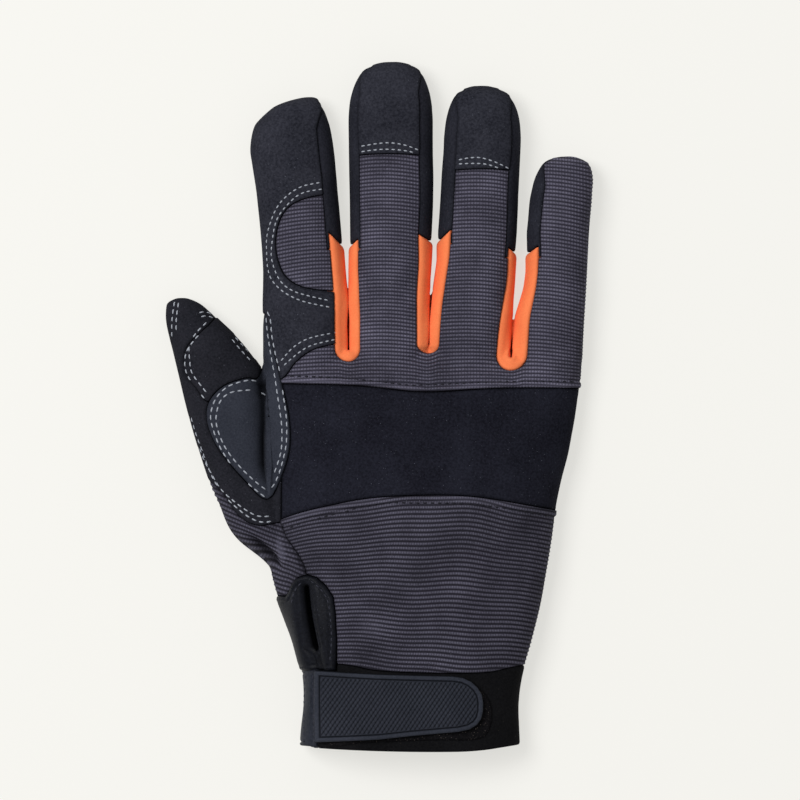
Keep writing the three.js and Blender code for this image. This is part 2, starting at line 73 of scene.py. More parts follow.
handRows = np.array([  # along, middle, width, height
    (0, -0.041, 0.684, 0.88), (0.045, -0.04, 0.678, 0.88), (0.129, -0.036, 0.667, 0.89),
    (0.21, -0.032, 0.69, 0.92), (0.281, -0.033, 0.741, 0.96), (0.382, -0.042, 0.822, 1),
    (0.458, -0.047, 0.863, 1), (0.534, -0.047, 0.894, 1), (0.635, -0.041, 0.919, 0.98),
    (0.762, -0.023, 0.953, 0.93), (0.889, -0.009, 0.981, 0.85), (0.965, -0.003, 0.994, 0.72),
    (1.012, 0, 0.99, 0.5),
])
thumbRows = np.array([  # along, shift, width, height
    (0, 0, 0.26, 0.7), (0.054, -0.025, 0.424, 0.85), (0.126, -0.085, 0.624, 0.92),
    (0.27, -0.137, 0.776, 1), (0.45, -0.185, 0.906, 1), (0.629, -0.221, 1, 0.96),
    (0.737, -0.248, 0.988, 0.92), (0.809, -0.282, 0.882, 0.88), (0.881, -0.324, 0.729, 0.8),
    (0.917, -0.347, 0.624, 0.72), (0.953, -0.365, 0.506, 0.62), (0.989, -0.383, 0.294, 0.45),
    (1, -0.385, 0.12, 0.36),
])
tipRows = np.array([  # back from the tip, fullness
    (0, 0.2), (0.03, 0.42), (0.09, 0.66), (0.18, 0.79), (0.3, 0.89), (0.45, 0.96), (0.65, 1),
])
fingers = {
    "index": {"share": 0.268, "length": 93.8, "taper": 0.965, "lean": -7.2, "bend": 2, "tip": 8.4, "cap": 0},
    "middle": {"share": 0.2445, "length": 106.5, "taper": 1.09, "lean": 1.1, "bend": 1, "tip": 0.2, "cap": 34},
    "ring": {"share": 0.269, "length": 97.8, "taper": 0.92, "lean": 4.7, "bend": 1, "tip": -1.4, "cap": 30.8},
    "pinky": {"share": 0.2185, "length": 72.8, "taper": 0.886, "lean": 5.8, "bend": 1, "tip": -0.7, "cap": 0},
}
fingerOrder = ["index", "middle", "ring", "pinky"]
runningEdge = -palmWidth / 2
for fingerName in fingerOrder:
    finger = fingers[fingerName]
    finger["root"] = finger["share"] * palmWidth
    finger["left"] = runningEdge
    runningEdge += finger["root"]


def smoothThrough(xs, ys, at):
    xs, ys, at = np.asarray(xs, float), np.asarray(ys, float), np.asarray(at, float)
    slopes = np.gradient(ys, xs)
    k = np.clip(np.searchsorted(xs, at, side="right") - 1, 0, len(xs) - 2)
    span = xs[k + 1] - xs[k]
    t = np.clip((at - xs[k]) / span, 0, 1)
    rise = ys[k + 1] - ys[k]
    return (ys[k] + span * slopes[k] * t * (1 - t) ** 2 + rise * t * t * (3 - 2 * t)
            - span * slopes[k + 1] * t * t * (1 - t))


def fullnessAt(finger, back):
    share = np.asarray(back, float) / (finger["root"] * finger["taper"])
    return np.where(share >= tipRows[-1, 0], 1.0, smoothThrough(tipRows[:, 0], tipRows[:, 1], share))


trimRows = {  # reach from the palm, then millimetres off the left and the right edge
    "index": [(0, -0.2, -0.4), (20, -0.1, 0), (31, 0.5, -0.6), (45, 0.4, -0.6), (60, 0.1, -0.6), (75, -0.8, -0.2),
              (84, 0, 0), (89, 3.0, -0.6), (92.7, 5.9, -2.2)],
    "middle": [(0, 0, 0.3), (20, 0, 0.3), (27, 0.3, -0.1), (35, 0.3, 0.3), (55, 0.1, 0.9), (75, -0.3, 0.4),
               (100, -0.4, 0)],
    "ring": [(0, 0, -0.9), (20, -0.3, -0.9), (27, 0.5, -0.5), (35, 1.2, -0.3), (45, 0.5, 0), (75, 0.9, 0.3),
             (95, 0, 0)],
    "pinky": [(0, -1.2, 0), (14, -1.2, 0), (20, 0.2, 0), (25, 1.1, 0), (31, 1.3, 0), (45, -0.2, -0.2), (60, 0, 0),
              (64, 0, 0.7), (68, 0.2, 1.3), (72, 0.3, 1.5)],
}
for fingerName, rows in trimRows.items():
    fingers[fingerName]["trim"] = np.array(rows, float)


def trimAt(finger, reach):
    return [np.interp(reach, finger["trim"][:, 0], finger["trim"][:, side]) for side in (1, 2)]


def middleAt(finger, reach):
    share = np.clip(np.asarray(reach, float) / finger["length"], 0, 1)
    full = fullnessAt(finger, finger["length"] - reach)
    left, right = trimAt(finger, reach)
    middle = finger["left"] + finger["root"] / 2 + finger["lean"] * share ** finger["bend"]
    return middle + (left + right) / 2 + finger["tip"] * (1 - full)


def widthAt(finger, reach):
    share = np.clip(np.asarray(reach, float) / finger["length"], 0, 1)
    plain = finger["root"] * (1 + (finger["taper"] - 1) * share ** glove["taperBend"]) - glove["slitWidth"]
    left, right = trimAt(finger, reach)
    return (plain + right - left) * fullnessAt(finger, finger["length"] - reach)


def ringAt(y, middle, width, top, under, sides):
    turn = np.linspace(0, 2 * math.pi, sides, endpoint=False)
    cos, sin = np.cos(turn), np.sin(turn)
    square = np.where(sin >= 0, glove["topSquareness"], glove["underSquareness"])
    x = middle + np.sign(cos) * np.abs(cos) ** (2 / square) * width / 2
    rise = np.abs(sin) ** (2 / square) * np.where(sin >= 0, top, under)
    z = np.maximum(seamHeight + np.sign(sin) * rise, 0)
    return np.stack([x, np.full(sides, y), z], axis=1)


def tubeThrough(rings):
    rows, sides = len(rings), len(rings[0])
    verts = np.concatenate(rings + [rings[0].mean(0, keepdims=True), rings[-1].mean(0, keepdims=True)])
    row, side = np.meshgrid(np.arange(rows - 1), np.arange(sides), indexing="ij")
    after = (side + 1) % sides
    quads = np.stack([row * sides + side, (row + 1) * sides + side, (row + 1) * sides + after,
                      row * sides + after], axis=-1).reshape(-1, 4)
    around = np.arange(sides)
    nextOne = (around + 1) % sides
    last = (rows - 1) * sides
    near = np.stack([np.full(sides, rows * sides), around, nextOne], axis=1)
    far = np.stack([np.full(sides, rows * sides + 1), last + nextOne, last + around], axis=1)
    tris = np.concatenate([quads[:, [0, 1, 2]], quads[:, [0, 2, 3]], near, far])
    return verts, tris


def handTube():
    along = np.concatenate([[-0.06, -0.03], np.linspace(0, 1.012, 130)])
    middle, width, height = (smoothThrough(handRows[:, 0], handRows[:, k], along.clip(0)) for k in (1, 2, 3))
    under = seamHeight * glove["underFlat"]
    return tubeThrough([
        ringAt(along[k] * palmLength, middle[k] * palmWidth, width[k] * palmWidth,
               height[k] * glove["handHeight"] - seamHeight, under, glove["handSides"])
        for k in range(len(along))])


def fingerTube(finger):
    length = finger["length"]
    roundStart = length - tipRows[-1, 0] * finger["root"] * finger["taper"]
    reaches = np.concatenate([
        np.linspace(-glove["fingerOverlap"], 0, 8)[:-1], np.linspace(0, roundStart, 60)[:-1],
        length - (length - roundStart) * np.linspace(1, 0, 40) ** 1.6])
    rings = []
    for reach in reaches:
        hidden = 1 + (glove["hiddenFullness"] - 1) * max(-reach, 0) / glove["fingerOverlap"]
        full = float(fullnessAt(finger, length - reach)) * hidden
        rings.append(ringAt(palmLength + reach, float(middleAt(finger, reach)),
                            float(widthAt(finger, reach)) * hidden, (glove["fingerHeight"] - seamHeight) * full,
                            seamHeight * glove["underFlat"] * full, glove["fingerSides"]))
    return tubeThrough(rings)


def thumbTube():
    along = np.concatenate([np.linspace(0, 0.8, 60)[:-1], 1 - 0.2 * np.linspace(1, 0, 36) ** 1.5])
    shift, width, height = (smoothThrough(thumbRows[:, 0], thumbRows[:, k], along) for k in (1, 2, 3))
    across, start = glove["thumbRoot"]
    return tubeThrough([
        ringAt(start * palmLength + along[k] * glove["thumbLength"],
               across * palmWidth + shift[k] * glove["thumbLength"], width[k] * glove["thumbWidth"],
               height[k] * glove["thumbHeight"] - seamHeight,
               seamHeight * min(glove["underFlat"], width[k] + height[k]), glove["fingerSides"])
        for k in range(len(along))])


def meshArrays(mesh):
    mesh.calc_loop_triangles()
    verts = np.zeros(len(mesh.vertices) * 3, np.float32)
    mesh.vertices.foreach_get("co", verts)
    faces = np.zeros(len(mesh.loop_triangles) * 3, np.int32)
    mesh.loop_triangles.foreach_get("vertices", faces)
    return verts.reshape(-1, 3).astype(float), faces.reshape(-1, 3).astype(np.int64)


def joined(parts):
    verts, faces, start = [], [], 0
    for partVerts, partFaces in parts:
        verts.append(partVerts)
        faces.append(partFaces + start)
        start += len(partVerts)
    return np.concatenate(verts), np.concatenate(faces)


def remeshed(verts, faces, step):
    mesh = bpy.data.meshes.new("tubes")
    mesh.from_pydata(verts.tolist(), [], faces.tolist())
    holder = bpy.data.objects.new("tubes", mesh)
    bpy.context.scene.collection.objects.link(holder)
    remesh = holder.modifiers.new("remesh", "REMESH")
    remesh.mode = "VOXEL"
    remesh.voxel_size = step
    graph = bpy.context.evaluated_depsgraph_get()
    solid = holder.evaluated_get(graph).to_mesh()
    result = meshArrays(solid)
    holder.evaluated_get(graph).to_mesh_clear()
    bpy.data.objects.remove(holder)
    bpy.data.meshes.remove(mesh)
    return result


def edgesOf(faces):
    pairs = np.sort(np.concatenate([faces[:, [0, 1]], faces[:, [1, 2]], faces[:, [2, 0]]]), axis=1)
    return np.unique(pairs, axis=0)


def relaxed(verts, faces, rounds, share=0.5):
    a, b = edgesOf(faces).T
    count = len(verts)
    degree = np.bincount(np.concatenate([a, b]), minlength=count)[:, None]
    for _ in range(rounds):
        total = np.stack([np.bincount(a, verts[b, k], count) + np.bincount(b, verts[a, k], count)
                          for k in range(verts.shape[1])], axis=1)
        verts = verts + share * (total / degree - verts)
    return verts


def normalsOf(verts, faces):
    p, q, r = verts[faces[:, 0]], verts[faces[:, 1]], verts[faces[:, 2]]
    flat = np.cross(q - p, r - p)
    total = np.stack([sum(np.bincount(faces[:, c], flat[:, k], len(verts)) for c in range(3))
                      for k in range(3)], axis=1)
    return total / np.maximum(np.linalg.norm(total, axis=1, keepdims=True), 1e-9)


tubes = joined([handTube(), thumbTube()] + [fingerTube(fingers[name]) for name in fingerOrder])
formVerts, formFaces = remeshed(*tubes, glove["surfaceStep"])
formVerts = relaxed(formVerts, formFaces, glove["softening"])
formVerts[:, 2] = formVerts[:, 2].clip(0)
formNormals = normalsOf(formVerts, formFaces)
if np.mean(np.sum(formNormals * (formVerts - formVerts.mean(0)), axis=1)) < 0:
    formFaces = formFaces[:, ::-1]
    formNormals = -formNormals
formNormals = relaxed(formNormals, formFaces, 3)
formNormals /= np.maximum(np.linalg.norm(formNormals, axis=1, keepdims=True), 1e-9)
print("form:", len(formVerts), "points,", len(formFaces), "triangles")

# Lines and outlines on the back, in shares of palm width and palm length
linesAcross = {
    "upperHem": [(-0.65, 0.93), (-0.43, 0.931), (-0.197, 0.926), (0, 0.911), (0.28, 0.921), (0.65, 0.916)],
    "lowerHem": [(-0.65, 0.5), (-0.453, 0.585), (-0.28, 0.625), (-0.115, 0.645), (0.14, 0.646),
                 (0.41, 0.611), (0.65, 0.58)],
    "cuff": [(-0.65, 0.235), (-0.28, 0.222), (-0.12, 0.203), (0.18, 0.199), (0.32, 0.218), (0.65, 0.24)],
    "thumbHem": [(-1.1, 0.9), (-0.69, 0.7), (-0.58, 0.6), (-0.52, 0.574), (-0.45, 0.582)],
    "thumbSeam": [(-0.45, 0.586), (-0.43, 0.54), (-0.385, 0.48), (-0.37, 0.44)],
    "indexHem": [(-0.62, 0.9), (-0.5, 0.932), (-0.44, 0.947), (-0.4, 0.987), (-0.348, 1.018),
                 (-0.29, 1.031), (-0.25, 1.035)],
    "ventSlit": [(-0.37, 0.415), (-0.364, 0.365), (-0.35, 0.3), (-0.326, 0.205)],
    "cuffEnd": [(-0.7, 0.02), (-0.37, 0.014), (-0.33, 0.009), (-0.14, 0.002), (0.05, 0), (0.17, 0.003),
                (0.3, 0.017), (0.7, 0.06)],
}
thumbFold = [(-0.445, 0.72), (-0.515, 1.11), (-0.515, 1.3), (-1.1, 1.3)]
thumbKnitTop = [(-0.52, 0.66), (-1.1, 1), (-1.1, 0.3), (-0.37, 0.3)]
webPatchRows = [
    (-0.486, 0.64), (-0.56, 0.69), (-0.64, 0.767), (-0.675, 0.832), (-0.67, 0.885), (-0.625, 0.925),
    (-0.556, 0.945), (-0.51, 0.95), (-0.505, 1.03), (-0.496, 1.11), (-0.48, 1.04), (-0.45, 0.95),
    (-0.425, 0.86), (-0.42, 0.78), (-0.44, 0.71)]
thumbPadRows = [
    (-0.58, 1.14), (-0.67, 1.08), (-0.735, 1.03), (-0.748, 0.99), (-0.742, 0.955), (-0.71, 0.92),
    (-0.67, 0.885), (-0.56, 0.87), (-0.5, 0.93), (-0.5, 1.02)]
indexInsetRows = [
    (-0.304, 1.41), (-0.36, 1.402), (-0.415, 1.382), (-0.448, 1.346), (-0.463, 1.292), (-0.455, 1.245),
    (-0.429, 1.203), (-0.37, 1.176), (-0.26, 1.165)]
ventRows = [
    (-0.6, 0.4), (-0.431, 0.392), (-0.415, 0.42), (-0.394, 0.44), (-0.367, 0.447), (-0.336, 0.441),
    (-0.306, 0.42), (-0.284, 0.392), (-0.276, 0.35), (-0.272, 0.286), (-0.275, 0.2055), (-0.6, 0.2055)]


def placed(rows):
    return np.array(rows, float) * (palmWidth, palmLength)


def curveThrough(points, steps=8, closed=False):
    points = np.asarray(points, float)
    count = len(points)
    result = []
    for k in range(count if closed else count - 1):
        if closed:
            p0, p1, p2, p3 = (points[(k + shift) % count] for shift in (-1, 0, 1, 2))
        else:
            p0, p1, p2, p3 = points[max(k - 1, 0)], points[k], points[k + 1], points[min(k + 2, count - 1)]
        for t in np.linspace(0, 1, steps, endpoint=False):
            result.append(0.5 * (2 * p1 + (p2 - p0) * t + (2 * p0 - 5 * p1 + 4 * p2 - p3) * t ** 2
                                 + (3 * p1 - p0 - 3 * p2 + p3) * t ** 3))
    if not closed:
        result.append(points[-1])
    return np.array(result)


lines = {name: curveThrough(placed(rows)) for name, rows in linesAcross.items()}


def distanceTo(points, line):
    best = np.full(len(points), 1e9)
    for a, b in zip(line[:-1], line[1:]):
        along = b - a
        t = np.clip(((points - a) @ along) / max(along @ along, 1e-12), 0, 1)
        best = np.minimum(best, np.sum((points - a - t[:, None] * along) ** 2, axis=1))
    return np.sqrt(best)


def insideOf(points, outline):
    ring = np.vstack([outline, outline[:1]])
    inside = np.zeros(len(points), bool)
    x, y = points.T
    for a, b in zip(ring[:-1], ring[1:]):
        if a[1] != b[1]:
            crosses = (a[1] > y) != (b[1] > y)
            inside ^= crosses & (x < (b[0] - a[0]) * (y - a[1]) / (b[1] - a[1]) + a[0])
    near = distanceTo(points, ring)
    return np.where(inside, near, -near)


def lineAcross(line, y):
    order = np.argsort(line[:, 1])
    return np.interp(y, line[order, 1], line[order, 0])


def lineHeight(line, x):
    order = np.argsort(line[:, 0])
    return np.interp(x, line[order, 0], line[order, 1])


def slitAt(left, right, reach):
    leftEdge = middleAt(fingers[left], reach) + widthAt(fingers[left], reach) / 2
    rightEdge = middleAt(fingers[right], reach) - widthAt(fingers[right], reach) / 2
    return np.stack([(leftEdge + rightEdge) / 2, palmLength + np.asarray(reach, float)], axis=-1)


gussetRows = {  # in the pairs, the left arm comes first
    "index": {"right": "middle", "slit": 2.7, "foot": 3.8, "tops": (45, 42.5), "heads": (5.6, 3.7),
              "feet": (4.5, 3.6)},
    "middle": {"right": "ring", "slit": 4.6, "foot": 2.7, "tops": (44.5, 46), "heads": (5.6, 5.2),
               "feet": (4, 3.2)},
    "ring": {"right": "pinky", "slit": 0.2, "foot": 4.6, "tops": (39.5, 40), "heads": (4.2, 5.6),
             "feet": (4.8, 5.4)},
}
gussetOutlines, gussetSlits = {}, {}
for leftName, row in gussetRows.items():
    sidesOfSlit = []
    for side in (0, 1):
        share = np.linspace(0, 1, 14)
        arm = slitAt(leftName, row["right"], row["slit"] + (row["tops"][side] - row["slit"]) * share)
        arm[:, 0] += (-1, 1)[side] * (row["feet"][side] + (row["heads"][side] - row["feet"][side]) * share)
        sidesOfSlit.append(arm)
    slitEnd = slitAt(leftName, row["right"], row["slit"])
    turn = np.linspace(0, math.pi, 14)[1:-1]
    half = np.where(np.cos(turn) > 0, row["feet"][1], row["feet"][0])
    foot = np.stack([slitEnd[0] + np.cos(turn) * half, slitEnd[1] - np.sin(turn) * row["foot"]], axis=1)
    notch = slitAt(leftName, row["right"], min(row["tops"]) - glove["armNotch"])
    gussetOutlines[leftName] = np.vstack([sidesOfSlit[0], notch[None], sidesOfSlit[1][::-1], foot])
    gussetSlits[leftName] = slitAt(leftName, row["right"], np.linspace(row["slit"], 125, 60))

sideWallRows = {  # finger, side, share of its width at which the seam runs, gusset at the foot
    "side_wall_index": ("index", 1, 0.32, "index"),
    "side_wall_middle_left": ("middle", -1, 0.39, "index"),
    "side_wall_middle_right": ("middle", 1, 0.35, "middle"),
    "side_wall_ring_left": ("ring", -1, 0.34, "middle"),
    "side_wall_ring_right": ("ring", 1, 0.38, "ring"),
    "side_wall_pinky": ("pinky", -1, 0.3, "ring"),
}
tipSeam = {"share": 0.53, "start": 12, "run": 10}  # the seam leaves the finger at the tip's corner


def sideWallOutline(fingerName, side, edge, gussetName):
    finger, gusset = fingers[fingerName], gussetRows[gussetName]
    length = finger["length"]
    reach = np.concatenate([np.linspace(min(gusset["tops"]) - glove["armNotch"], length - 14, 20)[:-1],
                            length - 1 - 13 * np.linspace(1, 0, 24) ** 1.6])
    turned = np.clip((reach - length + tipSeam["start"]) / tipSeam["run"], 0, 1) ** 1.6
    share = edge + (tipSeam["share"] - edge) * turned
    seam = middleAt(finger, reach) + side * share * widthAt(finger, reach)
    inner = np.stack([seam, palmLength + reach], axis=1)
    return np.vstack([slitAt(gussetName, gusset["right"], reach), inner[::-1]])


def fingerSide(fingerName, side, reach):
    order = fingerOrder.index(fingerName)
    left, right = fingerOrder[order + min(side, 0)], fingerOrder[order + max(side, 0)]
    return slitAt(left, right, np.linspace(reach, fingers[fingerName]["length"] + 20, 16))


def capOutline(fingerName, bow):
    finger = fingers[fingerName]
    reach = finger["length"] - finger["cap"]
    left, right = fingerSide(fingerName, -1, reach), fingerSide(fingerName, 1, reach)
    share = np.linspace(0, 1, 12)[1:-1]
    low = np.stack([left[0, 0] + (right[0, 0] - left[0, 0]) * share,
                    palmLength + reach + bow * (1 - (share * 2 - 1) ** 2)], axis=1)
    return np.vstack([left[::-1], low, right])


def between(lower, upper):
    return np.vstack([lower, upper[::-1]])


def level(y):
    return np.array([(-140.0, y), (140.0, y)])


cuffBindingEdge = (handRows[0, 1] - handRows[0, 2] / 2) * palmWidth + 6
ventFoot = 0.21 * palmLength
indexHem = lines["indexHem"]
outlines = {f"gusset_{name}_{gussetRows[name]['right']}": gussetOutlines[name] for name in gussetRows}
outlines.update({name: sideWallOutline(*row) for name, row in sideWallRows.items()})
outlines["cuff_binding"] = np.array([
    (-116, -20), (cuffBindingEdge, -20), (cuffBindingEdge, ventFoot - 0.3), (-116, ventFoot - 0.3)])
outlines["vent_binding"] = placed(ventRows)
outlines["web_patch"] = curveThrough(placed(webPatchRows), 4, closed=True)
outlines["thumb_pad"] = curveThrough(placed(thumbPadRows), 4, closed=True)
outlines["index_inset"] = curveThrough(placed(indexInsetRows), 5)
outlines["tip_cap_middle"] = capOutline("middle", 1.2)
outlines["tip_cap_ring"] = capOutline("ring", 1.2)
outlines["thumb_leather"] = np.vstack([lines["thumbHem"], placed(thumbFold)])
outlines["index_overlay"] = np.vstack([
    indexHem, fingerSide("index", 1, indexHem[-1, 1] - palmLength), [[indexHem[0, 0], palmLength + 114]]])
outlines["thumb_base_knit"] = np.vstack([lines["thumbSeam"][::-1], placed(thumbKnitTop)])
outlines["cuff_band"] = between(level(-20), lines["cuff"])
outlines["back_lower_knit"] = between(lines["cuff"], lines["lowerHem"])
outlines["knuckle_band"] = between(lines["lowerHem"], lines["upperHem"])
outlines["back_upper_knit"] = between(lines["upperHem"], level(palmLength + 126))

flatForm = formVerts[:, :2]
inside = {name: insideOf(flatForm, outline) for name, outline in outlines.items()}
roundTheWrist = {"cuff_binding", "cuff_band"}
slitLines = {f"gusset_{name}_{gussetRows[name]['right']}": line for name, line in gussetSlits.items()}
ventSlitDistance = distanceTo(flatForm, lines["ventSlit"])
ventWidths = np.array([(0.205, -1), (0.24, -1), (0.265, 1.1), (0.415, 0.7)])  # along the palm, half width
ventSlitHalf = np.interp(formVerts[:, 1], ventWidths[:, 0] * palmLength, ventWidths[:, 1])
cuffEndHeight = formVerts[:, 1] - lineHeight(lines["cuffEnd"], formVerts[:, 0])
seamAbove = formVerts[:, 2] - seamHeight - glove["gap"] / 2


tuckedUnder = {("vent_binding", "cuff_binding")}


def edgeField(name):
    # millimetres inwards from a piece's edge: a piece gives way to those before it in the list of outlines
    field = inside[name].copy()
    for other in outlines:
        if other == name:
            break
        apart = (glove["tuck"] if (name, other) in tuckedUnder else -glove["gap"]) - inside[other]
        if name in roundTheWrist and other not in roundTheWrist:
            apart = np.maximum(apart, -seamAbove - glove["gap"])
        field = np.minimum(field, apart)
    if name not in roundTheWrist:
        field = np.minimum(field, seamAbove + (glove["gussetDrop"] if name in slitLines else 0))
    if name == "vent_binding":
        field = np.minimum(field, ventSlitDistance - ventSlitHalf)
    return np.minimum(field, cuffEndHeight)


def palmField():
    field = -seamAbove - glove["gap"]
    for other in roundTheWrist:
        field = np.minimum(field, glove["tuck"] - inside[other])
    for other in slitLines:
        apart = np.maximum(-inside[other], -seamAbove - glove["gussetDrop"])
        field = np.minimum(field, apart - glove["gap"])
    return np.minimum(field, cuffEndHeight)


# Cutting a surface along the zero line of a field, with every column of data carried over
def cutAlong(data, faces, field, span=1e9):
    field = np.where(np.abs(field) < 1e-4, 0, field)
    tail = np.roll(faces, -1, axis=1)
    a, b = field[faces], field[tail]
    cut = (a * b < 0) & (np.abs(a - b) < span)
    if not cut.any():
        return data, faces
    low, high = np.minimum(faces, tail)[cut], np.maximum(faces, tail)[cut]
    keys, back = np.unique(low * len(data) + high, return_inverse=True)
    first, second = keys // len(data), keys % len(data)
    t = (field[first] / (field[first] - field[second]))[:, None]
    fresh = data[first] * (1 - t) + data[second] * t
    mids = np.full(faces.shape, -1, np.int64)
    mids[cut] = back.reshape(-1) + len(data)
    counts = cut.sum(1)
    result = [faces[counts == 0]]
    for k in range(3):
        one = (counts == 1) & cut[:, k]
        p, q, r, m = faces[one, k], faces[one, (k + 1) % 3], faces[one, (k + 2) % 3], mids[one, k]
        result += [np.stack([p, m, r], 1), np.stack([m, q, r], 1)]
        two = (counts == 2) & ~cut[:, k]
        p, q, r = faces[two, k], faces[two, (k + 1) % 3], faces[two, (k + 2) % 3]
        m1, m2 = mids[two, (k + 1) % 3], mids[two, (k + 2) % 3]
        result += [np.stack([m1, r, m2], 1), np.stack([p, q, m1], 1), np.stack([p, m1, m2], 1)]
    return np.vstack([data, fresh]), np.vstack(result)


def compacted(data, faces):
    used, back = np.unique(faces, return_inverse=True)
    return data[used], back.reshape(faces.shape)


def boundaryOf(faces):
    pairs = np.concatenate([faces[:, [0, 1]], faces[:, [1, 2]], faces[:, [2, 0]]])
    keys = np.sort(pairs, axis=1)
    keys = keys[:, 0] * (faces.max() + 1) + keys[:, 1]
    _, firstAt, counts = np.unique(keys, return_index=True, return_counts=True)
    return pairs[firstAt[counts == 1]]


def wave(points, length, seed):
    turns = np.array([(0.9, 0.43), (-0.35, 0.94), (0.62, -0.78), (0.12, 0.99), (-0.8, 0.6)])
    total = np.zeros(len(points))
    for k, (dx, dy) in enumerate(turns):
        along = points[:, 0] * dx + points[:, 1] * dy
        total += np.sin(along * 2 * math.pi / (length * (0.75 + 0.13 * k)) + seed + k * 1.7)
    return total / len(turns)


def fromLayout(points):
    # layout units of 0.3625 mm across and down, from the layout's upper left corner
    points = np.asarray(points, float)
    return np.column_stack([(points[:, 0] - 424) * 0.3625, (751 - points[:, 1]) * 0.36203])


webCrease = fromLayout([
    (266.5, 360), (267, 376), (268, 400), (268.5, 430), (268.5, 460), (269, 485), (270, 500)])
webFold = {"foot": 92, "footRun": 12, "top": 139, "topRun": 6, "dip": 2.6, "dipWidth": 4.2, "ridge": 1.0,
           "ridgeWidth": 4.0}
waves = [(0.5, 34.0, 2.0), (0.14, 13.0, 5.0)]  # height, length, seed
foldRows = [  # centre in layout units, depth, half length along, half width, turn in degrees
    ((267, 553), 3.2, 8.5, 2.4, -40), ((282, 556), -2.0, 7.0, 2.0, -82),
    ((299, 560), 1.5, 8.0, 1.3, -62),
    ((288, 583), 0.9, 6.0, 1.6, -75), ((348, 600), 0.7, 14.0, 3.0, -80),
    ((420, 560), 0.5, 30.0, 7.0, 5), ((480, 610), 0.45, 26.0, 6.0, 12), ((375, 625), -0.4, 22.0, 6.0, -8),
    ((226, 365), 0.6, 6.0, 3.0, 60), ((205, 350), -0.4, 5.0, 3.0, 70),
]


def foldsOf(verts):
    # soft folds and dents of a glove that has lain flat, as a move along the surface's normal
    flat = verts[:, :2]
    lift = sum(height * wave(flat, length, seed) for height, length, seed in waves)
    for centre, depth, long, wide, turn in foldRows:
        middle = fromLayout([centre])[0]
        cos, sin = math.cos(math.radians(turn)), math.sin(math.radians(turn))
        along = (flat[:, 0] - middle[0]) * cos + (flat[:, 1] - middle[1]) * sin
        aside = (flat[:, 1] - middle[1]) * cos - (flat[:, 0] - middle[0]) * sin
        lift = lift - depth * np.exp(-(along / long) ** 2 - (aside / wide) ** 2)
    side = flat[:, 0] - lineAcross(webCrease, flat[:, 1])
    reach = np.clip((flat[:, 1] - webFold["foot"]) / webFold["footRun"], 0, 1)
    reach = reach * np.clip((webFold["top"] - flat[:, 1]) / webFold["topRun"], 0, 1)
    left = -webFold["dip"] * np.exp(-(np.maximum(-side, 0) / webFold["dipWidth"]) ** 1.3)
    right = webFold["ridge"] * np.exp(-(np.maximum(side, 0) / webFold["ridgeWidth"]) ** 2)
    share = np.clip(side / 0.5 + 0.5, 0, 1)
    top = np.clip((verts[:, 2] - seamHeight) / 3, 0, 1)
    return (lift + reach * (left * (1 - share) + right * share)) * top


# Distance across the ribs, which follow the hems and the fingers
def lowerRibs(points):
    x, y = points[:, 0], points[:, 1]
    rise = np.clip((y - 28) / 64, 0, 1.1)
    hem = lineHeight(lines["lowerHem"], x) - 91
    sway = 0.5 * np.sin(x / 11 + y / 26) + 0.3 * np.sin(x / 4.3 - y / 15)
    return y - rise * hem + (1 - rise) * 0.07 * (x + 32) + sway


def thumbRibs(points):
    x, y = points[:, 0], points[:, 1]
    return (y * 0.93 + x * 0.37) + 0.3 * np.sin(x / 6)


def upperRibs(points):
    x, y = points[:, 0], points[:, 1]
    result = y + 0.3 * np.sin(x / 9 + 1)
    rise = np.clip((y - 128) / 26, 0, 1)
    for name, slope in {"index": -0.09, "middle": 0.015, "ring": 0.06, "pinky": 0.1}.items():
        finger = fingers[name]
        away = x - middleAt(finger, np.clip(y - palmLength, 0, None))
        near = np.clip(1.25 - np.abs(away) / (finger["root"] * 0.5), 0, 0.25) * 4
        result = result + rise * near * (slope * away + 0.007 * away ** 2)
    return result


knits = {"ribKnit": {"pitch": 1.5, "depth": 0.42}, "waffleKnit": {"pitch": 1.36, "depth": 0.3}}
ribRows = {
    "back_lower_knit": {**knits["ribKnit"], "lines": lowerRibs},
    "thumb_base_knit": {**knits["ribKnit"], "lines": thumbRibs},
    "back_upper_knit": {**knits["waffleKnit"], "lines": upperRibs},
    "index_inset": {**knits["waffleKnit"], "lines": upperRibs},
}
slitCuts = (-1.4, -0.8, -0.4, -0.15, 0, 0.15, 0.4, 0.8, 1.4)  # beside a gusset's slit


def ribCuts(data, faces, pitch):
    # data's last column is the distance across the ribs: lines at every crest, slope and trough
    for order in range(4):
        count = data[:, -1] / (pitch / 4)
        data, faces = cutAlong(data, faces, (count - order + 2) % 4 - 2, span=2)
    return data, faces


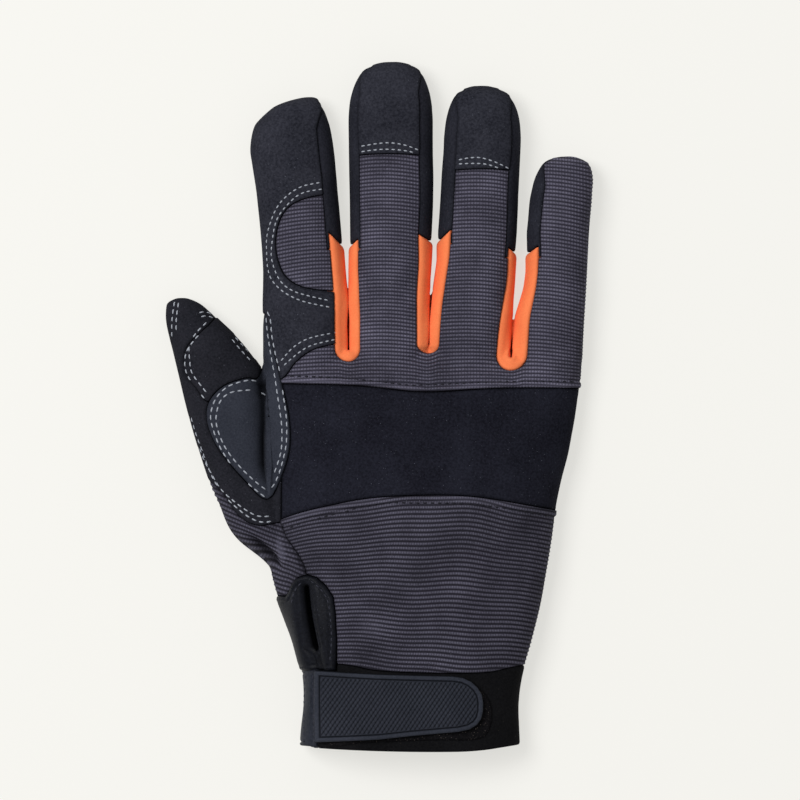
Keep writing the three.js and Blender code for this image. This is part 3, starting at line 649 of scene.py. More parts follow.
class Panel:
    def __init__(self, name, field, levels, surface=None, creases=()):
        baseVerts, baseNormals, baseFaces = surface or (formVerts, formNormals, formFaces)
        self.name = name
        self.onForm = surface is None
        data = np.column_stack([baseVerts, baseNormals, field])
        data, faces = compacted(data, baseFaces[field[baseFaces].max(1) > 0])
        if name in slitLines:
            for offset in slitCuts:
                aside = data[:, 0] - lineAcross(slitLines[name], data[:, 1])
                data, faces = cutAlong(data, faces, aside - offset)
        data, faces = cutAlong(data, faces, data[:, 6])
        data, faces = compacted(data, faces[data[faces, 6].mean(1) > 0])
        self.innerData, self.innerFaces = data, faces
        for depth in levels:
            data, faces = cutAlong(data, faces, data[:, 6] - depth)
        for crease, offset in creases:
            data, faces = cutAlong(data, faces, data[:, 0] - lineAcross(crease, data[:, 1]) - offset)
        if name in ribRows:
            data = np.column_stack([data, ribRows[name]["lines"](data[:, :2])])
            data, faces = ribCuts(data, faces, ribRows[name]["pitch"])
        data, self.faces = compacted(data, faces)
        self.verts, self.normals, self.field = data[:, :3], data[:, 3:6], data[:, 6]
        self.normals = self.normals / np.maximum(np.linalg.norm(self.normals, axis=1, keepdims=True), 1e-9)
        self.across = data[:, 7] if name in ribRows else data[:, 1]
        self.floor = 0.0
        self.base = foldsOf(self.verts) if self.onForm else np.zeros(len(self.verts))
        self.lift = self.base.copy()

    def flat(self):
        return self.verts[:, :2]

    def outer(self):
        return self.verts + self.normals * self.lift[:, None]


def makeObject(name, verts, faces, uvs=None):
    verts = (np.asarray(verts, float) + frameShift) / 1000
    mesh = bpy.data.meshes.new(name)
    corners = faces.shape[1]
    mesh.vertices.add(len(verts))
    mesh.vertices.foreach_set("co", verts.astype(np.float32).ravel())
    mesh.loops.add(faces.size)
    mesh.loops.foreach_set("vertex_index", faces.astype(np.int32).ravel())
    mesh.polygons.add(len(faces))
    mesh.polygons.foreach_set("loop_start", np.arange(0, faces.size, corners, dtype=np.int32))
    mesh.polygons.foreach_set("loop_total", np.full(len(faces), corners, np.int32))
    mesh.update(calc_edges=True)
    mesh.validate()
    mesh.polygons.foreach_set("use_smooth", np.ones(len(mesh.polygons), bool))
    for layerName, values in (uvs or {}).items():
        layer = mesh.uv_layers.new(name=layerName)
        layer.data.foreach_set("uv", values[faces.ravel()].astype(np.float32).ravel())
    mesh.update()
    piece = bpy.data.objects.new(name, mesh)
    bpy.context.scene.collection.objects.link(piece)
    return piece


def thinned(piece, most):
    # fewer triangles, taken first where the surface is flat
    count = len(piece.data.polygons)
    if count > most:
        thin = piece.modifiers.new("thin", "DECIMATE")
        thin.ratio = most / count
        graph = bpy.context.evaluated_depsgraph_get()
        full = piece.data
        piece.data = bpy.data.meshes.new_from_object(
            piece.evaluated_get(graph), preserve_all_data_layers=True, depsgraph=graph)
        piece.modifiers.clear()
        bpy.data.meshes.remove(full)
        piece.data.name = piece.name
    return piece


mostTriangles = {"palm_panel": 75000, "back_lower_knit": 165000, "back_upper_knit": 162000,
                 "knuckle_band": 42000, "cuff_band": 42000, "index_overlay": 28000, "thumb_base_knit": 30000,
                 "strap_tab": 92000}


def ridesAs(piece, nodes, material):
    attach(piece, "root")
    if nodes:
        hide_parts(*nodes)
    piece.data.materials.clear()
    piece.data.materials.append(material)
    return piece


surfaceParts = []


def finished(panel, wall):
    # the outer face, a rim along its edge and an inner face
    outer = panel.outer()
    surfaceParts.append((outer, panel.faces))
    edge = boundaryOf(panel.faces)
    ends, back = np.unique(edge, return_inverse=True)
    back = back.reshape(edge.shape)
    low = panel.verts[ends] + panel.normals[ends] * (panel.base[ends] - wall)[:, None]
    innerBase = foldsOf(panel.innerData[:, :3]) if panel.onForm else np.full(len(panel.innerData), panel.floor)
    inner = panel.innerData[:, :3] + panel.innerData[:, 3:6] * (innerBase - wall)[:, None]
    count, half = len(outer), len(ends)
    rim = np.vstack([
        np.stack([count + back[:, 1], count + back[:, 0], count + half + back[:, 0]], 1),
        np.stack([count + back[:, 1], count + half + back[:, 0], count + half + back[:, 1]], 1)])
    verts = np.vstack([outer, outer[ends], low, inner])
    faces = np.vstack([panel.faces, rim, panel.innerFaces[:, ::-1] + count + 2 * half])
    lay = np.column_stack([panel.verts[:, 0], panel.across])
    edgeMap = np.column_stack([panel.field, panel.lift])
    innerEdge = np.column_stack([panel.innerData[:, 6], np.zeros(len(inner))])
    uvs = {
        "layMap": np.vstack([lay, lay[ends], lay[ends], panel.innerData[:, [0, 1]]]),
        "edgeMap": np.vstack([edgeMap, edgeMap[ends], edgeMap[ends], innerEdge]),
    }
    piece = makeObject(panel.name + "_piece", verts, faces, uvs)
    return thinned(piece, mostTriangles.get(panel.name, len(faces)))


# Materials
def linear(red, green, blue):
    values = [channel / 255 for channel in (red, green, blue)]
    return tuple(v / 12.92 if v <= 0.04045 else ((v + 0.055) / 1.055) ** 2.4 for v in values) + (1.0,)


def nodeIn(tree, kind, inputs, **settings):
    # each input gets a socket to follow or a constant
    node = tree.nodes.new(kind)
    for key, value in settings.items():
        setattr(node, key, value)
    for target, value in inputs.items():
        if isinstance(value, bpy.types.NodeSocket):
            tree.links.new(value, node.inputs[target])
        else:
            node.inputs[target].default_value = value
    return node


def mathIn(tree, operation, first, second=0.0, clamp=False):
    return nodeIn(tree, "ShaderNodeMath", {0: first, 1: second}, operation=operation, use_clamp=clamp).outputs[0]


def timesIn(tree, first, second):
    return mathIn(tree, "MULTIPLY", first, second)


def blendIn(tree, share, first, second):
    return nodeIn(tree, "ShaderNodeMix", {0: share, 6: first, 7: second}, data_type="RGBA").outputs[2]


def rampIn(tree, value, low, high):
    return nodeIn(tree, "ShaderNodeMapRange", {0: value, 1: low, 2: high}).outputs[0]


def partsIn(tree, vector):
    return nodeIn(tree, "ShaderNodeSeparateXYZ", {0: vector}).outputs


def newGroup(name, vector, numbers, results):
    group = bpy.data.node_groups.new(name, "ShaderNodeTree")
    group.interface.new_socket(vector, in_out="INPUT", socket_type="NodeSocketVector")
    for label, value in numbers.items():
        group.interface.new_socket(label, in_out="INPUT", socket_type="NodeSocketFloat").default_value = value
    for label in results:
        group.interface.new_socket(label, in_out="OUTPUT", socket_type="NodeSocketFloat")
    return group, group.nodes.new("NodeGroupInput").outputs, group.nodes.new("NodeGroupOutput").inputs


def groupIn(tree, group, **inputs):
    return nodeIn(tree, "ShaderNodeGroup", inputs, node_tree=group).outputs


def buildLint():
    group, given, result = newGroup("lintSpecks", "Place", {"Scale": 900.0, "Share": 0.03}, ["Mask"])
    cells = nodeIn(group, "ShaderNodeTexVoronoi", {"Vector": given["Place"], "Scale": given["Scale"]})
    spot = rampIn(group, cells.outputs["Distance"], 0.24, 0.1)
    chance = nodeIn(group, "ShaderNodeSeparateColor", {0: cells.outputs["Color"]}).outputs
    chosen = mathIn(group, "LESS_THAN", chance[0], given["Share"])
    group.links.new(timesIn(group, timesIn(group, spot, chosen), chance[1]), result["Mask"])
    return group


def buildGrain():
    group, given, result = newGroup("clothGrain", "Place", {"Fine": 2600.0, "Broad": 90.0}, ["Fine", "Broad"])
    for label, detail, roughness in (("Fine", 3, 0.65), ("Broad", 4, 0.5)):
        noise = nodeIn(group, "ShaderNodeTexNoise", {
            "Vector": given["Place"], "Scale": given[label], "Detail": detail, "Roughness": roughness})
        group.links.new(noise.outputs[0], result[label])
    return group


def waveIn(tree, turns):
    # one at each whole turn, nought half way between
    cosine = mathIn(tree, "COSINE", timesIn(tree, turns, 2 * math.pi))
    return mathIn(tree, "ADD", timesIn(tree, cosine, 0.5), 0.5)


def buildKnit():
    # Lay holds millimetres along and across the ribs, from the piece's own map
    group, given, result = newGroup(
        "knitFace", "Lay", {"Pitch": 1.7, "Wale": 1.2, "Jitter": 0.0}, ["Crest", "Wale", "Height"])
    lay = partsIn(group, given["Lay"])
    turns = mathIn(group, "DIVIDE", lay[1], given["Pitch"])
    crest = waveIn(group, turns)
    rowCount = mathIn(group, "FLOOR", mathIn(group, "ADD", turns, 0.5))
    shift = timesIn(group, mathIn(group, "MODULO", rowCount, 2.0), given["Jitter"])
    wale = waveIn(group, mathIn(group, "ADD", mathIn(group, "DIVIDE", lay[0], given["Wale"]), shift))
    for label, value in {"Crest": crest, "Wale": wale, "Height": timesIn(group, wale, crest)}.items():
        group.links.new(value, result[label])
    return group


def buildEdgeShade():
    # mask of the painted shade along a sewn edge: one at the edge, nought from Reach inwards
    group, given, result = newGroup("paintedEdgeShade", "Lay", {"Reach": 1.2}, ["Mask"])
    share = mathIn(group, "DIVIDE", partsIn(group, given["Lay"])[0], given["Reach"])
    group.links.new(mathIn(group, "SUBTRACT", 1.0, share, clamp=True), result["Mask"])
    return group


lintGroup, grainGroup, knitGroup, edgeShadeGroup = buildLint(), buildGrain(), buildKnit(), buildEdgeShade()


def startMaterial(name, roughness, specular, sheen=0.0):
    material = bpy.data.materials.new(name)
    material.use_nodes = True
    tree = material.node_tree
    shader = tree.nodes["Principled BSDF"]
    shader.inputs["Roughness"].default_value = roughness
    shader.inputs["Specular IOR Level"].default_value = specular
    shader.inputs["Sheen Weight"].default_value = sheen
    shader.inputs["Sheen Roughness"].default_value = 0.5
    return material, tree, shader, tree.nodes.new("ShaderNodeTexCoord").outputs["Object"]


def mapIn(tree, name):
    return nodeIn(tree, "ShaderNodeUVMap", {}, uv_map=name).outputs[0]


def liftIn(tree):
    # the second number of the edge map, low in folds and at sewn edges
    return partsIn(tree, mapIn(tree, "edgeMap"))[1]


def finishIn(tree, shader, colour, height, strength, distance):
    bump = nodeIn(tree, "ShaderNodeBump", {"Height": height, "Strength": strength, "Distance": distance})
    tree.links.new(colour, shader.inputs["Base Color"])
    tree.links.new(bump.outputs[0], shader.inputs["Normal"])


def paintedShadeIn(tree, colour, edge, reach, edgeShade, high, deep, shade):
    # painted shade: darker along the sewn edge where the pieces meet, then in the folds, creases and grooves
    edgeShadeMask = groupIn(tree, edgeShadeGroup, Lay=mapIn(tree, "edgeMap"), Reach=reach)[0]
    colour = blendIn(tree, timesIn(tree, edgeShadeMask, edge), colour, linear(*edgeShade))
    foldShade = timesIn(tree, rampIn(tree, liftIn(tree), high, deep), 0.85)
    return blendIn(tree, foldShade, colour, linear(*shade))


def dustedIn(tree, place, colour, scale, share, strength, tone):
    specks = groupIn(tree, lintGroup, Place=place, Scale=scale, Share=share)[0]
    return blendIn(tree, timesIn(tree, specks, strength), colour, linear(*tone))


def clothMaterial(name, base, light, fine, roughness=0.95, specular=0.03, sheen=0.0, broad=70, bump=0.00012,
                  lint=0.05, lintTone=(150, 155, 170), edge=0.35, high=-0.45, deep=-2.6, shade=(7, 7, 10)):
    material, tree, shader, place = startMaterial(name, roughness, specular, sheen)
    grain = groupIn(tree, grainGroup, Place=place, Fine=fine, Broad=broad)
    tone = mathIn(tree, "ADD", timesIn(tree, rampIn(tree, grain["Fine"], 0.36, 0.64), 0.62),
                  timesIn(tree, rampIn(tree, grain["Broad"], 0.34, 0.66), 0.38))
    colour = blendIn(tree, tone, linear(*base), linear(*light))
    # painted shade along the sewn edges, in the colour (8, 8, 11), and in the folds
    colour = paintedShadeIn(tree, colour, edge, 1.1, (8, 8, 11), high, deep, shade)
    colour = dustedIn(tree, place, colour, 1800.0, lint, 0.5, lintTone)
    finishIn(tree, shader, colour, grain["Fine"], 0.7, bump)
    return material


def knitMaterial(name, crest, trough, wale, waleShare, jitter):
    material, tree, shader, place = startMaterial(name, 0.9, 0.05)
    lay = mapIn(tree, "layMap")
    knit = groupIn(tree, knitGroup, Lay=lay, Pitch=knits[name]["pitch"], Wale=wale, Jitter=jitter)
    grain = groupIn(tree, grainGroup, Place=place, Fine=2200.0, Broad=60.0)
    # painted shade: the troughs of the ribs and the gaps between the wales take the darker trough colour
    waleGapShade = timesIn(tree, mathIn(tree, "SUBTRACT", 1.0, knit["Wale"]), waleShare)
    share = timesIn(tree, rampIn(tree, knit["Crest"], 0.12, 0.8), mathIn(tree, "SUBTRACT", 1.0, waleGapShade))
    colour = blendIn(tree, share, linear(*trough), linear(*crest))
    mottle = mathIn(tree, "ADD", timesIn(tree, grain["Fine"], 0.5), timesIn(tree, grain["Broad"], 0.5))
    colour = blendIn(tree, rampIn(tree, mottle, 0.75, 0.25), colour, linear(30, 29, 36))
    colour = paintedShadeIn(tree, colour, 0.5, 0.9, (18, 17, 22), -0.75, -2.2, (9, 8, 12))
    raisedHighlight = timesIn(tree, rampIn(tree, liftIn(tree), 0.2, 0.9), 0.22)  # painted highlight: raised places, such as the hems, are a little paler
    colour = blendIn(tree, raisedHighlight, colour, linear(*crest))
    colour = dustedIn(tree, place, colour, 1500.0, 0.05, 0.35, (170, 170, 180))
    height = mathIn(tree, "ADD", knit["Height"], timesIn(tree, grain["Fine"], 0.35))
    finishIn(tree, shader, colour, height, 0.8, 0.00022)
    return material


def threadMaterial(name, base, light):
    material, tree, shader, place = startMaterial(name, 0.7, 0.15)
    grain = groupIn(tree, grainGroup, Place=place, Fine=3800.0, Broad=300.0)
    colour = blendIn(tree, rampIn(tree, grain["Fine"], 0.3, 0.7), linear(*base), linear(*light))
    finishIn(tree, shader, colour, grain["Fine"], 0.5, 0.0001)
    return material


# edge is the strength of the painted shade along the sewn edges; shade is the colour of the painted shade in
# folds, creases and grooves, where the lift falls from high to deep
clothRows = {
    "blackSuede": {"base": (29, 30, 37), "light": (56, 57, 66), "fine": 1150, "broad": 75},
    "thumbSuede": {"base": (25, 26, 31), "light": (43, 43, 50), "fine": 1250, "broad": 75},
    "bandCloth": {"base": (19, 19, 26), "light": (37, 38, 48), "fine": 1200, "broad": 60, "lint": 0.07},
    "sideCloth": {"base": (30, 31, 38), "light": (50, 51, 60), "fine": 1300},
    "cuffCloth": {"base": (12, 12, 14), "light": (25, 25, 27), "fine": 1500, "roughness": 0.9, "lint": 0.04,
                  "lintTone": (100, 92, 86)},
    "patchTwill": {"base": (40, 43, 52), "light": (56, 59, 69), "fine": 1500, "roughness": 0.8,
                   "specular": 0.05, "deep": -2.0},
    "bindingLeather": {"base": (9, 10, 15), "light": (24, 26, 34), "fine": 1200, "roughness": 0.5,
                       "specular": 0.1, "bump": 0.0002, "high": -0.1, "deep": -1.3, "shade": (3, 3, 4)},
    "edgingLeather": {"base": (23, 26, 34), "light": (44, 47, 57), "fine": 1200, "roughness": 0.5,
                      "specular": 0.08, "bump": 0.0002, "deep": -1.6},
    # the tab's painted shade lies in its grooves and over its rounded edge
    "tabRubber": {"base": (40, 43, 51), "light": (56, 59, 69), "fine": 1600, "roughness": 0.6, "specular": 0.04,
                  "lint": 0.03, "edge": 0.0, "high": 3.12, "deep": 2.8, "shade": (14, 15, 19)},
    "loopField": {"base": (10, 10, 12), "light": (26, 25, 27), "fine": 1300, "lint": 0.5, "bump": 0.0004,
                  "lintTone": (170, 158, 150), "deep": -9.0},
    # the gussets' painted shade, dark red, lies in the crease between the arms and where they dip at their sewn
    # edges
    "orangeStretch": {"base": (244, 124, 76), "light": (255, 140, 88), "fine": 1700, "broad": 120,
                      "roughness": 0.9, "sheen": 0.05, "lint": 0.0, "bump": 0.0001, "edge": 0.0, "high": -0.3,
                      "deep": -2.0, "shade": (110, 20, 14)},
}
# trough is the colour of the painted shade in the rib troughs and between the wales; crest also colours the
# painted highlight on raised places
knitRows = {
    "ribKnit": {"crest": (120, 118, 137), "trough": (42, 40, 49), "wale": 0.95, "waleShare": 0.5, "jitter": 0.5},
    "waffleKnit": {"crest": (140, 137, 159), "trough": (60, 58, 71), "wale": 1.1, "waleShare": 0.62,
                   "jitter": 0.0},
}
threadRows = {
    "greyThread": {"base": (128, 133, 143), "light": (190, 195, 204)},
    "darkThread": {"base": (40, 41, 50), "light": (66, 67, 79)},
    "hemThread": {"base": (22, 22, 28), "light": (38, 38, 46)},
}
finishes = {name: clothMaterial(name, **row) for name, row in clothRows.items()}
finishes.update({name: knitMaterial(name, **row) for name, row in knitRows.items()})
finishes.update({name: threadMaterial(name, **row) for name, row in threadRows.items()})
print("materials made")

stitchRows = {  # slot, thread, then pitch, length and width of a stitch
    "stitches_fingertips": ("suede", "greyThread", 2.2, 1.4, 0.5),
    "stitches_index": ("suede", "greyThread", 2.2, 1.4, 0.5),
    "stitches_thumb": ("suede", "greyThread", 2.75, 1.85, 0.54),
    "stitches_web": ("patch_twill", "greyThread", 2.9, 2.0, 0.54),
    "stitches_knuckle_hem": ("waffle_knit", "hemThread", 2.6, 1.5, 0.55),
    "stitches_lower_hem": ("rib_knit", "hemThread", 2.6, 1.5, 0.55),
    "stitches_vent": ("binding_leather", "darkThread", 2.3, 1.4, 0.42),
}
stitchLines = {  # in layout units
    "stitches_fingertips": [
        [(361, 145.5), (376, 143), (390.5, 142), (406, 144.5), (420, 149.7)],
        [(361, 151), (376, 149), (390.5, 148.5), (406, 150), (419, 152.8)],
        [(458.4, 159.2), (468, 157.3), (480, 156.8), (495, 161), (511, 168.6)],
        [(458.4, 163.2), (471, 162.6), (485, 163.2), (497, 166.5), (508.4, 172)],
    ],
    "stitches_index": [
        [(320.8, 181.6), (300.8, 186.3), (284.3, 198), (274.8, 212), (267.8, 233.5), (267.3, 252.4),
         (268.5, 268), (273, 280), (284.3, 291.3), (300.8, 299.6), (318, 304), (333.8, 307)],
        [(323.2, 188.2), (303, 192.2), (289, 202.8), (277.2, 219.3), (272.5, 243), (272.5, 259.4),
         (279.6, 278.3), (291.3, 289), (308, 294.8), (333.8, 300.7)],
        [(337.4, 331.4), (310, 337.3), (293.7, 346.7), (280.7, 361)],
        [(336, 338.5), (312.6, 344.4), (298.4, 352.6), (280.7, 368)],
    ],
    "stitches_thumb": [
        [(175, 300), (172.6, 318), (172.4, 336)],
        [(179, 301), (176.8, 318), (176.8, 334)],
        [(199, 312), (206, 311), (213, 314)],
        [(201, 316), (207.5, 315), (214, 317.5)],
        [(210, 323), (196, 338), (187.5, 350), (185.5, 360), (187, 372), (195, 385), (207, 400)],
        [(207.5, 321), (196.5, 332.5), (190, 344), (190.5, 361), (192.5, 372), (201, 384), (211.5, 397)],
        [(191.5, 416), (196.5, 433), (202.5, 449), (208.5, 465.6), (215.5, 481), (226.5, 496.2), (236, 505.8),
         (249.5, 516.3), (262.9, 521.5), (277.2, 519.2)],
        [(200, 447), (205, 460), (212.2, 473), (221.8, 488.6), (234.2, 500), (245.7, 508.7), (257.2, 515),
         (266.7, 515.7), (276.3, 514.4)],
        [(232, 338), (240, 348), (251, 360)],
        [(235, 336), (243.5, 345.5), (254, 357)],
    ],
    "stitches_web": [
        [(264.8, 384.3), (253.3, 379.5), (240, 381.4), (226.5, 387), (216, 398.6), (211.2, 414), (213, 425.4),
         (218.9, 442.6), (226.5, 456), (238, 471.3), (253.3, 486.7), (266.7, 497.2)],
        [(266.7, 394.8), (257, 390), (245.7, 389.5), (230.4, 392), (220.8, 400.5), (217, 414), (217.4, 425.4),
         (223.7, 442.6), (232.3, 456), (243.8, 469.4), (257.2, 481.9), (269.6, 491.4)],
        [(267.5, 310), (270.9, 318.3), (272.5, 335.5), (276.3, 354.6), (280.1, 369.9), (282.6, 387.2),
         (285.3, 404.4), (287, 417.8), (287.4, 433.1), (286.4, 446.5), (283.9, 458), (280.1, 471.4),
         (275.3, 482.8), (271.5, 487.6)],
        [(266.5, 316), (267.7, 329.8), (271.9, 356.5), (275.3, 375.7), (277.8, 392.9), (280.5, 410.1),
         (282, 421.6), (282.6, 433.1), (282, 448.4), (279.2, 459.9), (275.9, 469.4), (272.5, 479)],
    ],
    "stitches_knuckle_hem": [
        [(290, 375.5), (322, 376), (361, 379), (405, 384), (420, 384.6), (460, 383), (513, 381), (574, 381)],
    ],
    "stitches_lower_hem": [
        [(290, 527), (313, 519), (341, 512), (380, 502.5), (420, 502), (469, 503), (513, 508.5), (550, 515.5)],
    ],
    "stitches_vent": [
        [(311, 579.5), (320, 587), (327.5, 598), (330.5, 612), (332, 638), (330.5, 660)],
        [(292, 603), (294.5, 592), (300, 583.5), (306, 580)],
        [(305.5, 674), (304.3, 700), (304, 742)],
        [(313.3, 674), (314, 700), (314.3, 742)],
    ],
}

panelRows = {  # slot, finish, lift at the sewn edge, lift inwards, width of the roll between them
    "gusset_index_middle": ("gusset_cloth", "orangeStretch", -0.9, 0.6, 1.7),
    "gusset_middle_ring": ("gusset_cloth", "orangeStretch", -0.9, 0.6, 1.7),
    "gusset_ring_pinky": ("gusset_cloth", "orangeStretch", -0.9, 0.6, 1.9),
    **{name: ("side_cloth", "sideCloth", -0.5, 0.0, 1.2) for name in sideWallRows},
    "cuff_binding": ("binding_leather", "edgingLeather", 0.0, 0.7, 0.8),
    "vent_binding": ("binding_leather", "bindingLeather", -0.3, 0.8, 1.8),
    "web_patch": ("patch_twill", "patchTwill", 0.0, 0.5, 0.6),
    "thumb_pad": ("suede", "thumbSuede", 0.1, 0.5, 0.5),
    "index_inset": ("waffle_knit", "waffleKnit", -0.4, 0.1, 0.9),
    "tip_cap_middle": ("suede", "blackSuede", 0.1, 0.5, 0.6),
    "tip_cap_ring": ("suede", "blackSuede", 0.1, 0.5, 0.6),
    "thumb_leather": ("suede", "thumbSuede", -0.3, 0.1, 0.9),
    "index_overlay": ("suede", "blackSuede", 0.1, 0.5, 0.6),
    "thumb_base_knit": ("rib_knit", "ribKnit", -0.5, 0.0, 1.0),
    "cuff_band": ("cuff_neoprene", "cuffCloth", -0.5, 0.1, 1.2),
    "back_lower_knit": ("rib_knit", "ribKnit", -0.3, 0.1, 0.9),
    "knuckle_band": ("band_cloth", "bandCloth", -0.6, 0.0, 1.4),
    "back_upper_knit": ("waffle_knit", "waffleKnit", -0.4, 0.1, 0.9),
    "palm_panel": ("suede", "blackSuede", -0.4, 0.0, 0.9),
}
levelShares = (0.08, 0.25, 0.55, 1.0)  # of the roll's width, where the surface is cut
palmLevels = (0.3, 0.8)
deepWalls = {**{name: 4.5 for name in slitLines}, "vent_binding": 3.0}
furrows = {  # depth, place inwards, half width
    "cuff_binding": (0.5, 1.4, 0.4), "vent_binding": (0.45, 1.9, 0.35)}
creaseRow = {"depth": 2.9, "width": 0.3, "puff": 0.7, "puffPlace": (1.5, 0.9), "run": 8,
             "open": {"gusset_index_middle": 27, "gusset_middle_ring": 19, "gusset_ring_pinky": 12}}
ventRow = {"puff": 0.9, "puffPlace": (4.2, 2.4), "sink": 1.2, "sinkPlace": (0.8, 1.3)}
hem = {"width": 2.6, "edge": 0.2, "lift": 0.5, "furrow": 0.55, "flatter": 0.25}
ribEdge = {"start": 0.15, "run": 0.7}  # the ribs fade in from a piece's edge


def bell(distance, centre, half):
    return np.exp(-((distance - centre) / half) ** 2)


def rollOver(panel, low, high, width):
    share = np.clip(panel.field / width, 0, 1)
    panel.lift += low + (high - low) * np.sqrt(1 - (1 - share) ** 2)
    if panel.name in furrows:
        depth, place, half = furrows[panel.name]
        panel.lift -= depth * bell(panel.field, place, half)
    if panel.name == "vent_binding":
        near = distanceTo(panel.flat(), lines["ventSlit"])
        panel.lift += ventRow["puff"] * bell(near, *ventRow["puffPlace"])
        panel.lift -= ventRow["sink"] * bell(near, *ventRow["sinkPlace"])
    if panel.name in slitLines:
        # the two padded arms meet in a deep crease, and puff up where they touch
        near = distanceTo(panel.flat(), slitLines[panel.name])
        top = palmLength + creaseRow["open"][panel.name]
        closed = np.clip((top - panel.verts[:, 1]) / creaseRow["run"], 0, 1)
        panel.lift -= creaseRow["depth"] * np.exp(-near / creaseRow["width"])
        panel.lift += creaseRow["puff"] * closed * bell(near, *creaseRow["puffPlace"])


def hemShare(panel):
    # one in the folded hem next to the knuckle band, nought beyond it
    if panel.name == "back_lower_knit":
        depth = lineHeight(lines["lowerHem"], panel.verts[:, 0]) - panel.verts[:, 1]
    elif panel.name == "back_upper_knit":
        depth = panel.verts[:, 1] - lineHeight(lines["upperHem"], panel.verts[:, 0])
    else:
        return np.zeros(len(panel.verts))
    return 1 / (1 + np.exp((depth - hem["width"]) / hem["edge"]))


def ribLift(panel):
    if panel.name in ribRows:
        row = ribRows[panel.name]
        turns = panel.across / row["pitch"]
        fade = np.clip((panel.field - ribEdge["start"]) / ribEdge["run"], 0, 1)
        fade = fade * (1 - hem["flatter"] * hemShare(panel))
        panel.lift += row["depth"] * (np.cos(turns * 2 * math.pi) * 0.5 - 0.5) * fade


def hemLift(panel):
    fold = hemShare(panel)
    panel.lift += hem["lift"] * fold - hem["furrow"] * 4 * fold * (1 - fold)


dippedPanels = {"thumb_leather": "stitches_thumb", "thumb_pad": "stitches_thumb", "web_patch": "stitches_web",
                "index_overlay": "stitches_index", "tip_cap_middle": "stitches_fingertips",
                "tip_cap_ring": "stitches_fingertips"}
dip = {"depth": 0.22, "width": 0.75}


def dipUnderStitches(panel):
    for points in stitchLines.get(dippedPanels.get(panel.name), []):
        near = distanceTo(panel.flat(), curveThrough(fromLayout(points), 4))
        panel.lift -= dip["depth"] * bell(near, 0, dip["width"])


palmTuck = {"depth": 1.1, "run": 0.4}
objects = {}
for name, (slot, finish, *roll) in panelRows.items():
    creases = [(webCrease, -0.25), (webCrease, 0.25)] if name == "web_patch" else []
    if name == "palm_panel":
        panel = Panel(name, palmField(), palmLevels)
    else:
        panel = Panel(name, edgeField(name), [roll[2] * share for share in levelShares], creases=creases)
    rollOver(panel, *roll)
    ribLift(panel)
    hemLift(panel)
    dipUnderStitches(panel)
    if name == "palm_panel":
        for other in roundTheWrist:  # tucked under the cuff's pieces, so that no light shows between them
            under = insideOf(panel.flat(), outlines[other])
            panel.lift -= palmTuck["depth"] * np.clip(under / palmTuck["run"] + 1, 0, 1)
    objects[name] = ridesAs(finished(panel, deepWalls.get(name, glove["wall"])), [name], finishes[finish])
    print(name, len(objects[name].data.polygons))

# Hook-and-loop closing tab and the loop field under it, each on its own fine grid over the cuff
tab = {"step": 0.24, "lift": 3.1, "wall": 1.8, "round": 0.7, "edgeDrop": 0.9, "turn": 57.0, "pitch": 1.3,
       "rim": 1.35, "rimLift": 0.32, "rimEdge": (0.1, 0.06), "groove": 0.45, "groovePlace": (0.45, 0.22),
       "hatchPlace": (0.7, 0.3), "mainGroove": 0.3, "crossGroove": 0.17, "narrow": 4.2}
loopField = {"step": 0.45, "lift": 0.95, "wall": 0.6, "round": 1.1, "edgeShare": 0.35, "fuzz": 0.22}
tabOutline = fromLayout([
    (319.5, 668.8), (350, 671), (380, 672.7), (420, 673.8), (452, 674.5), (462, 676), (470, 680), (476, 686),
    (479.8, 693), (481, 701), (480.8, 710), (479, 718), (475, 724), (468, 728.4), (457.6, 730.8), (430, 733.2),
    (410.6, 735), (380, 738.5), (350, 740.2), (319.5, 741.8)])
loopOutline = curveThrough(fromLayout([
    (324, 676), (400, 679), (462, 680), (478, 686), (487, 696), (491, 708), (490.5, 722), (486, 734), (474, 739),
    (440, 739), (400, 740), (360, 742), (324, 742)]), 4, closed=True)
formTree = BVHTree.FromPolygons(formVerts.tolist(), formFaces.tolist())
skyHeight = 80.0  # rays start above the whole glove


def gridOver(outline, step):
    low, high = outline.min(0) - step * 2, outline.max(0) + step * 2
    xs, ys = np.arange(low[0], high[0], step), np.arange(low[1], high[1], step)
    x, y = np.meshgrid(xs, ys, indexing="ij")
    z = np.zeros(x.shape)
    for i, j in np.ndindex(x.shape):
        hit = formTree.ray_cast((x[i, j], y[i, j], skyHeight), (0, 0, -1))[0]
        z[i, j] = hit.z if hit else seamHeight
    for _ in range(6):
        z[1:-1, 1:-1] = (z[:-2, 1:-1] + z[2:, 1:-1] + z[1:-1, :-2] + z[1:-1, 2:]) / 4
    slopeX, slopeY = np.gradient(z, step)
    normals = np.stack([-slopeX, -slopeY, np.ones_like(z)], axis=-1).reshape(-1, 3)
    normals /= np.linalg.norm(normals, axis=1, keepdims=True)
    i, j = np.meshgrid(np.arange(len(xs) - 1), np.arange(len(ys) - 1), indexing="ij")
    a = (i * len(ys) + j).ravel()
    b, c, d = a + len(ys), a + len(ys) + 1, a + 1
    faces = np.vstack([np.stack([a, b, c], 1), np.stack([a, c, d], 1)])
    return np.stack([x.ravel(), y.ravel(), z.ravel()], axis=1), normals, faces


tabSurface = gridOver(tabOutline, tab["step"])
tabLevels = [0.12, 0.35, 0.7] + [tab["rim"] + step for step in (0, 0.2, 0.45, 0.75)]
tabPanel = Panel("strap_tab", insideOf(tabSurface[0][:, :2], tabOutline), tabLevels, tabSurface)
tabPanel.base[:] = tabPanel.floor = tab["lift"]


def roundedEdge(panel, width):
    return np.sqrt(1 - (1 - np.clip(panel.field / width, 0, 1)) ** 2)


def grooveAlong(across, depth):
    turns = across / tab["pitch"]
    return -depth * np.clip(1 - np.abs(turns % 1 - 0.5) * tab["narrow"], 0, 1)


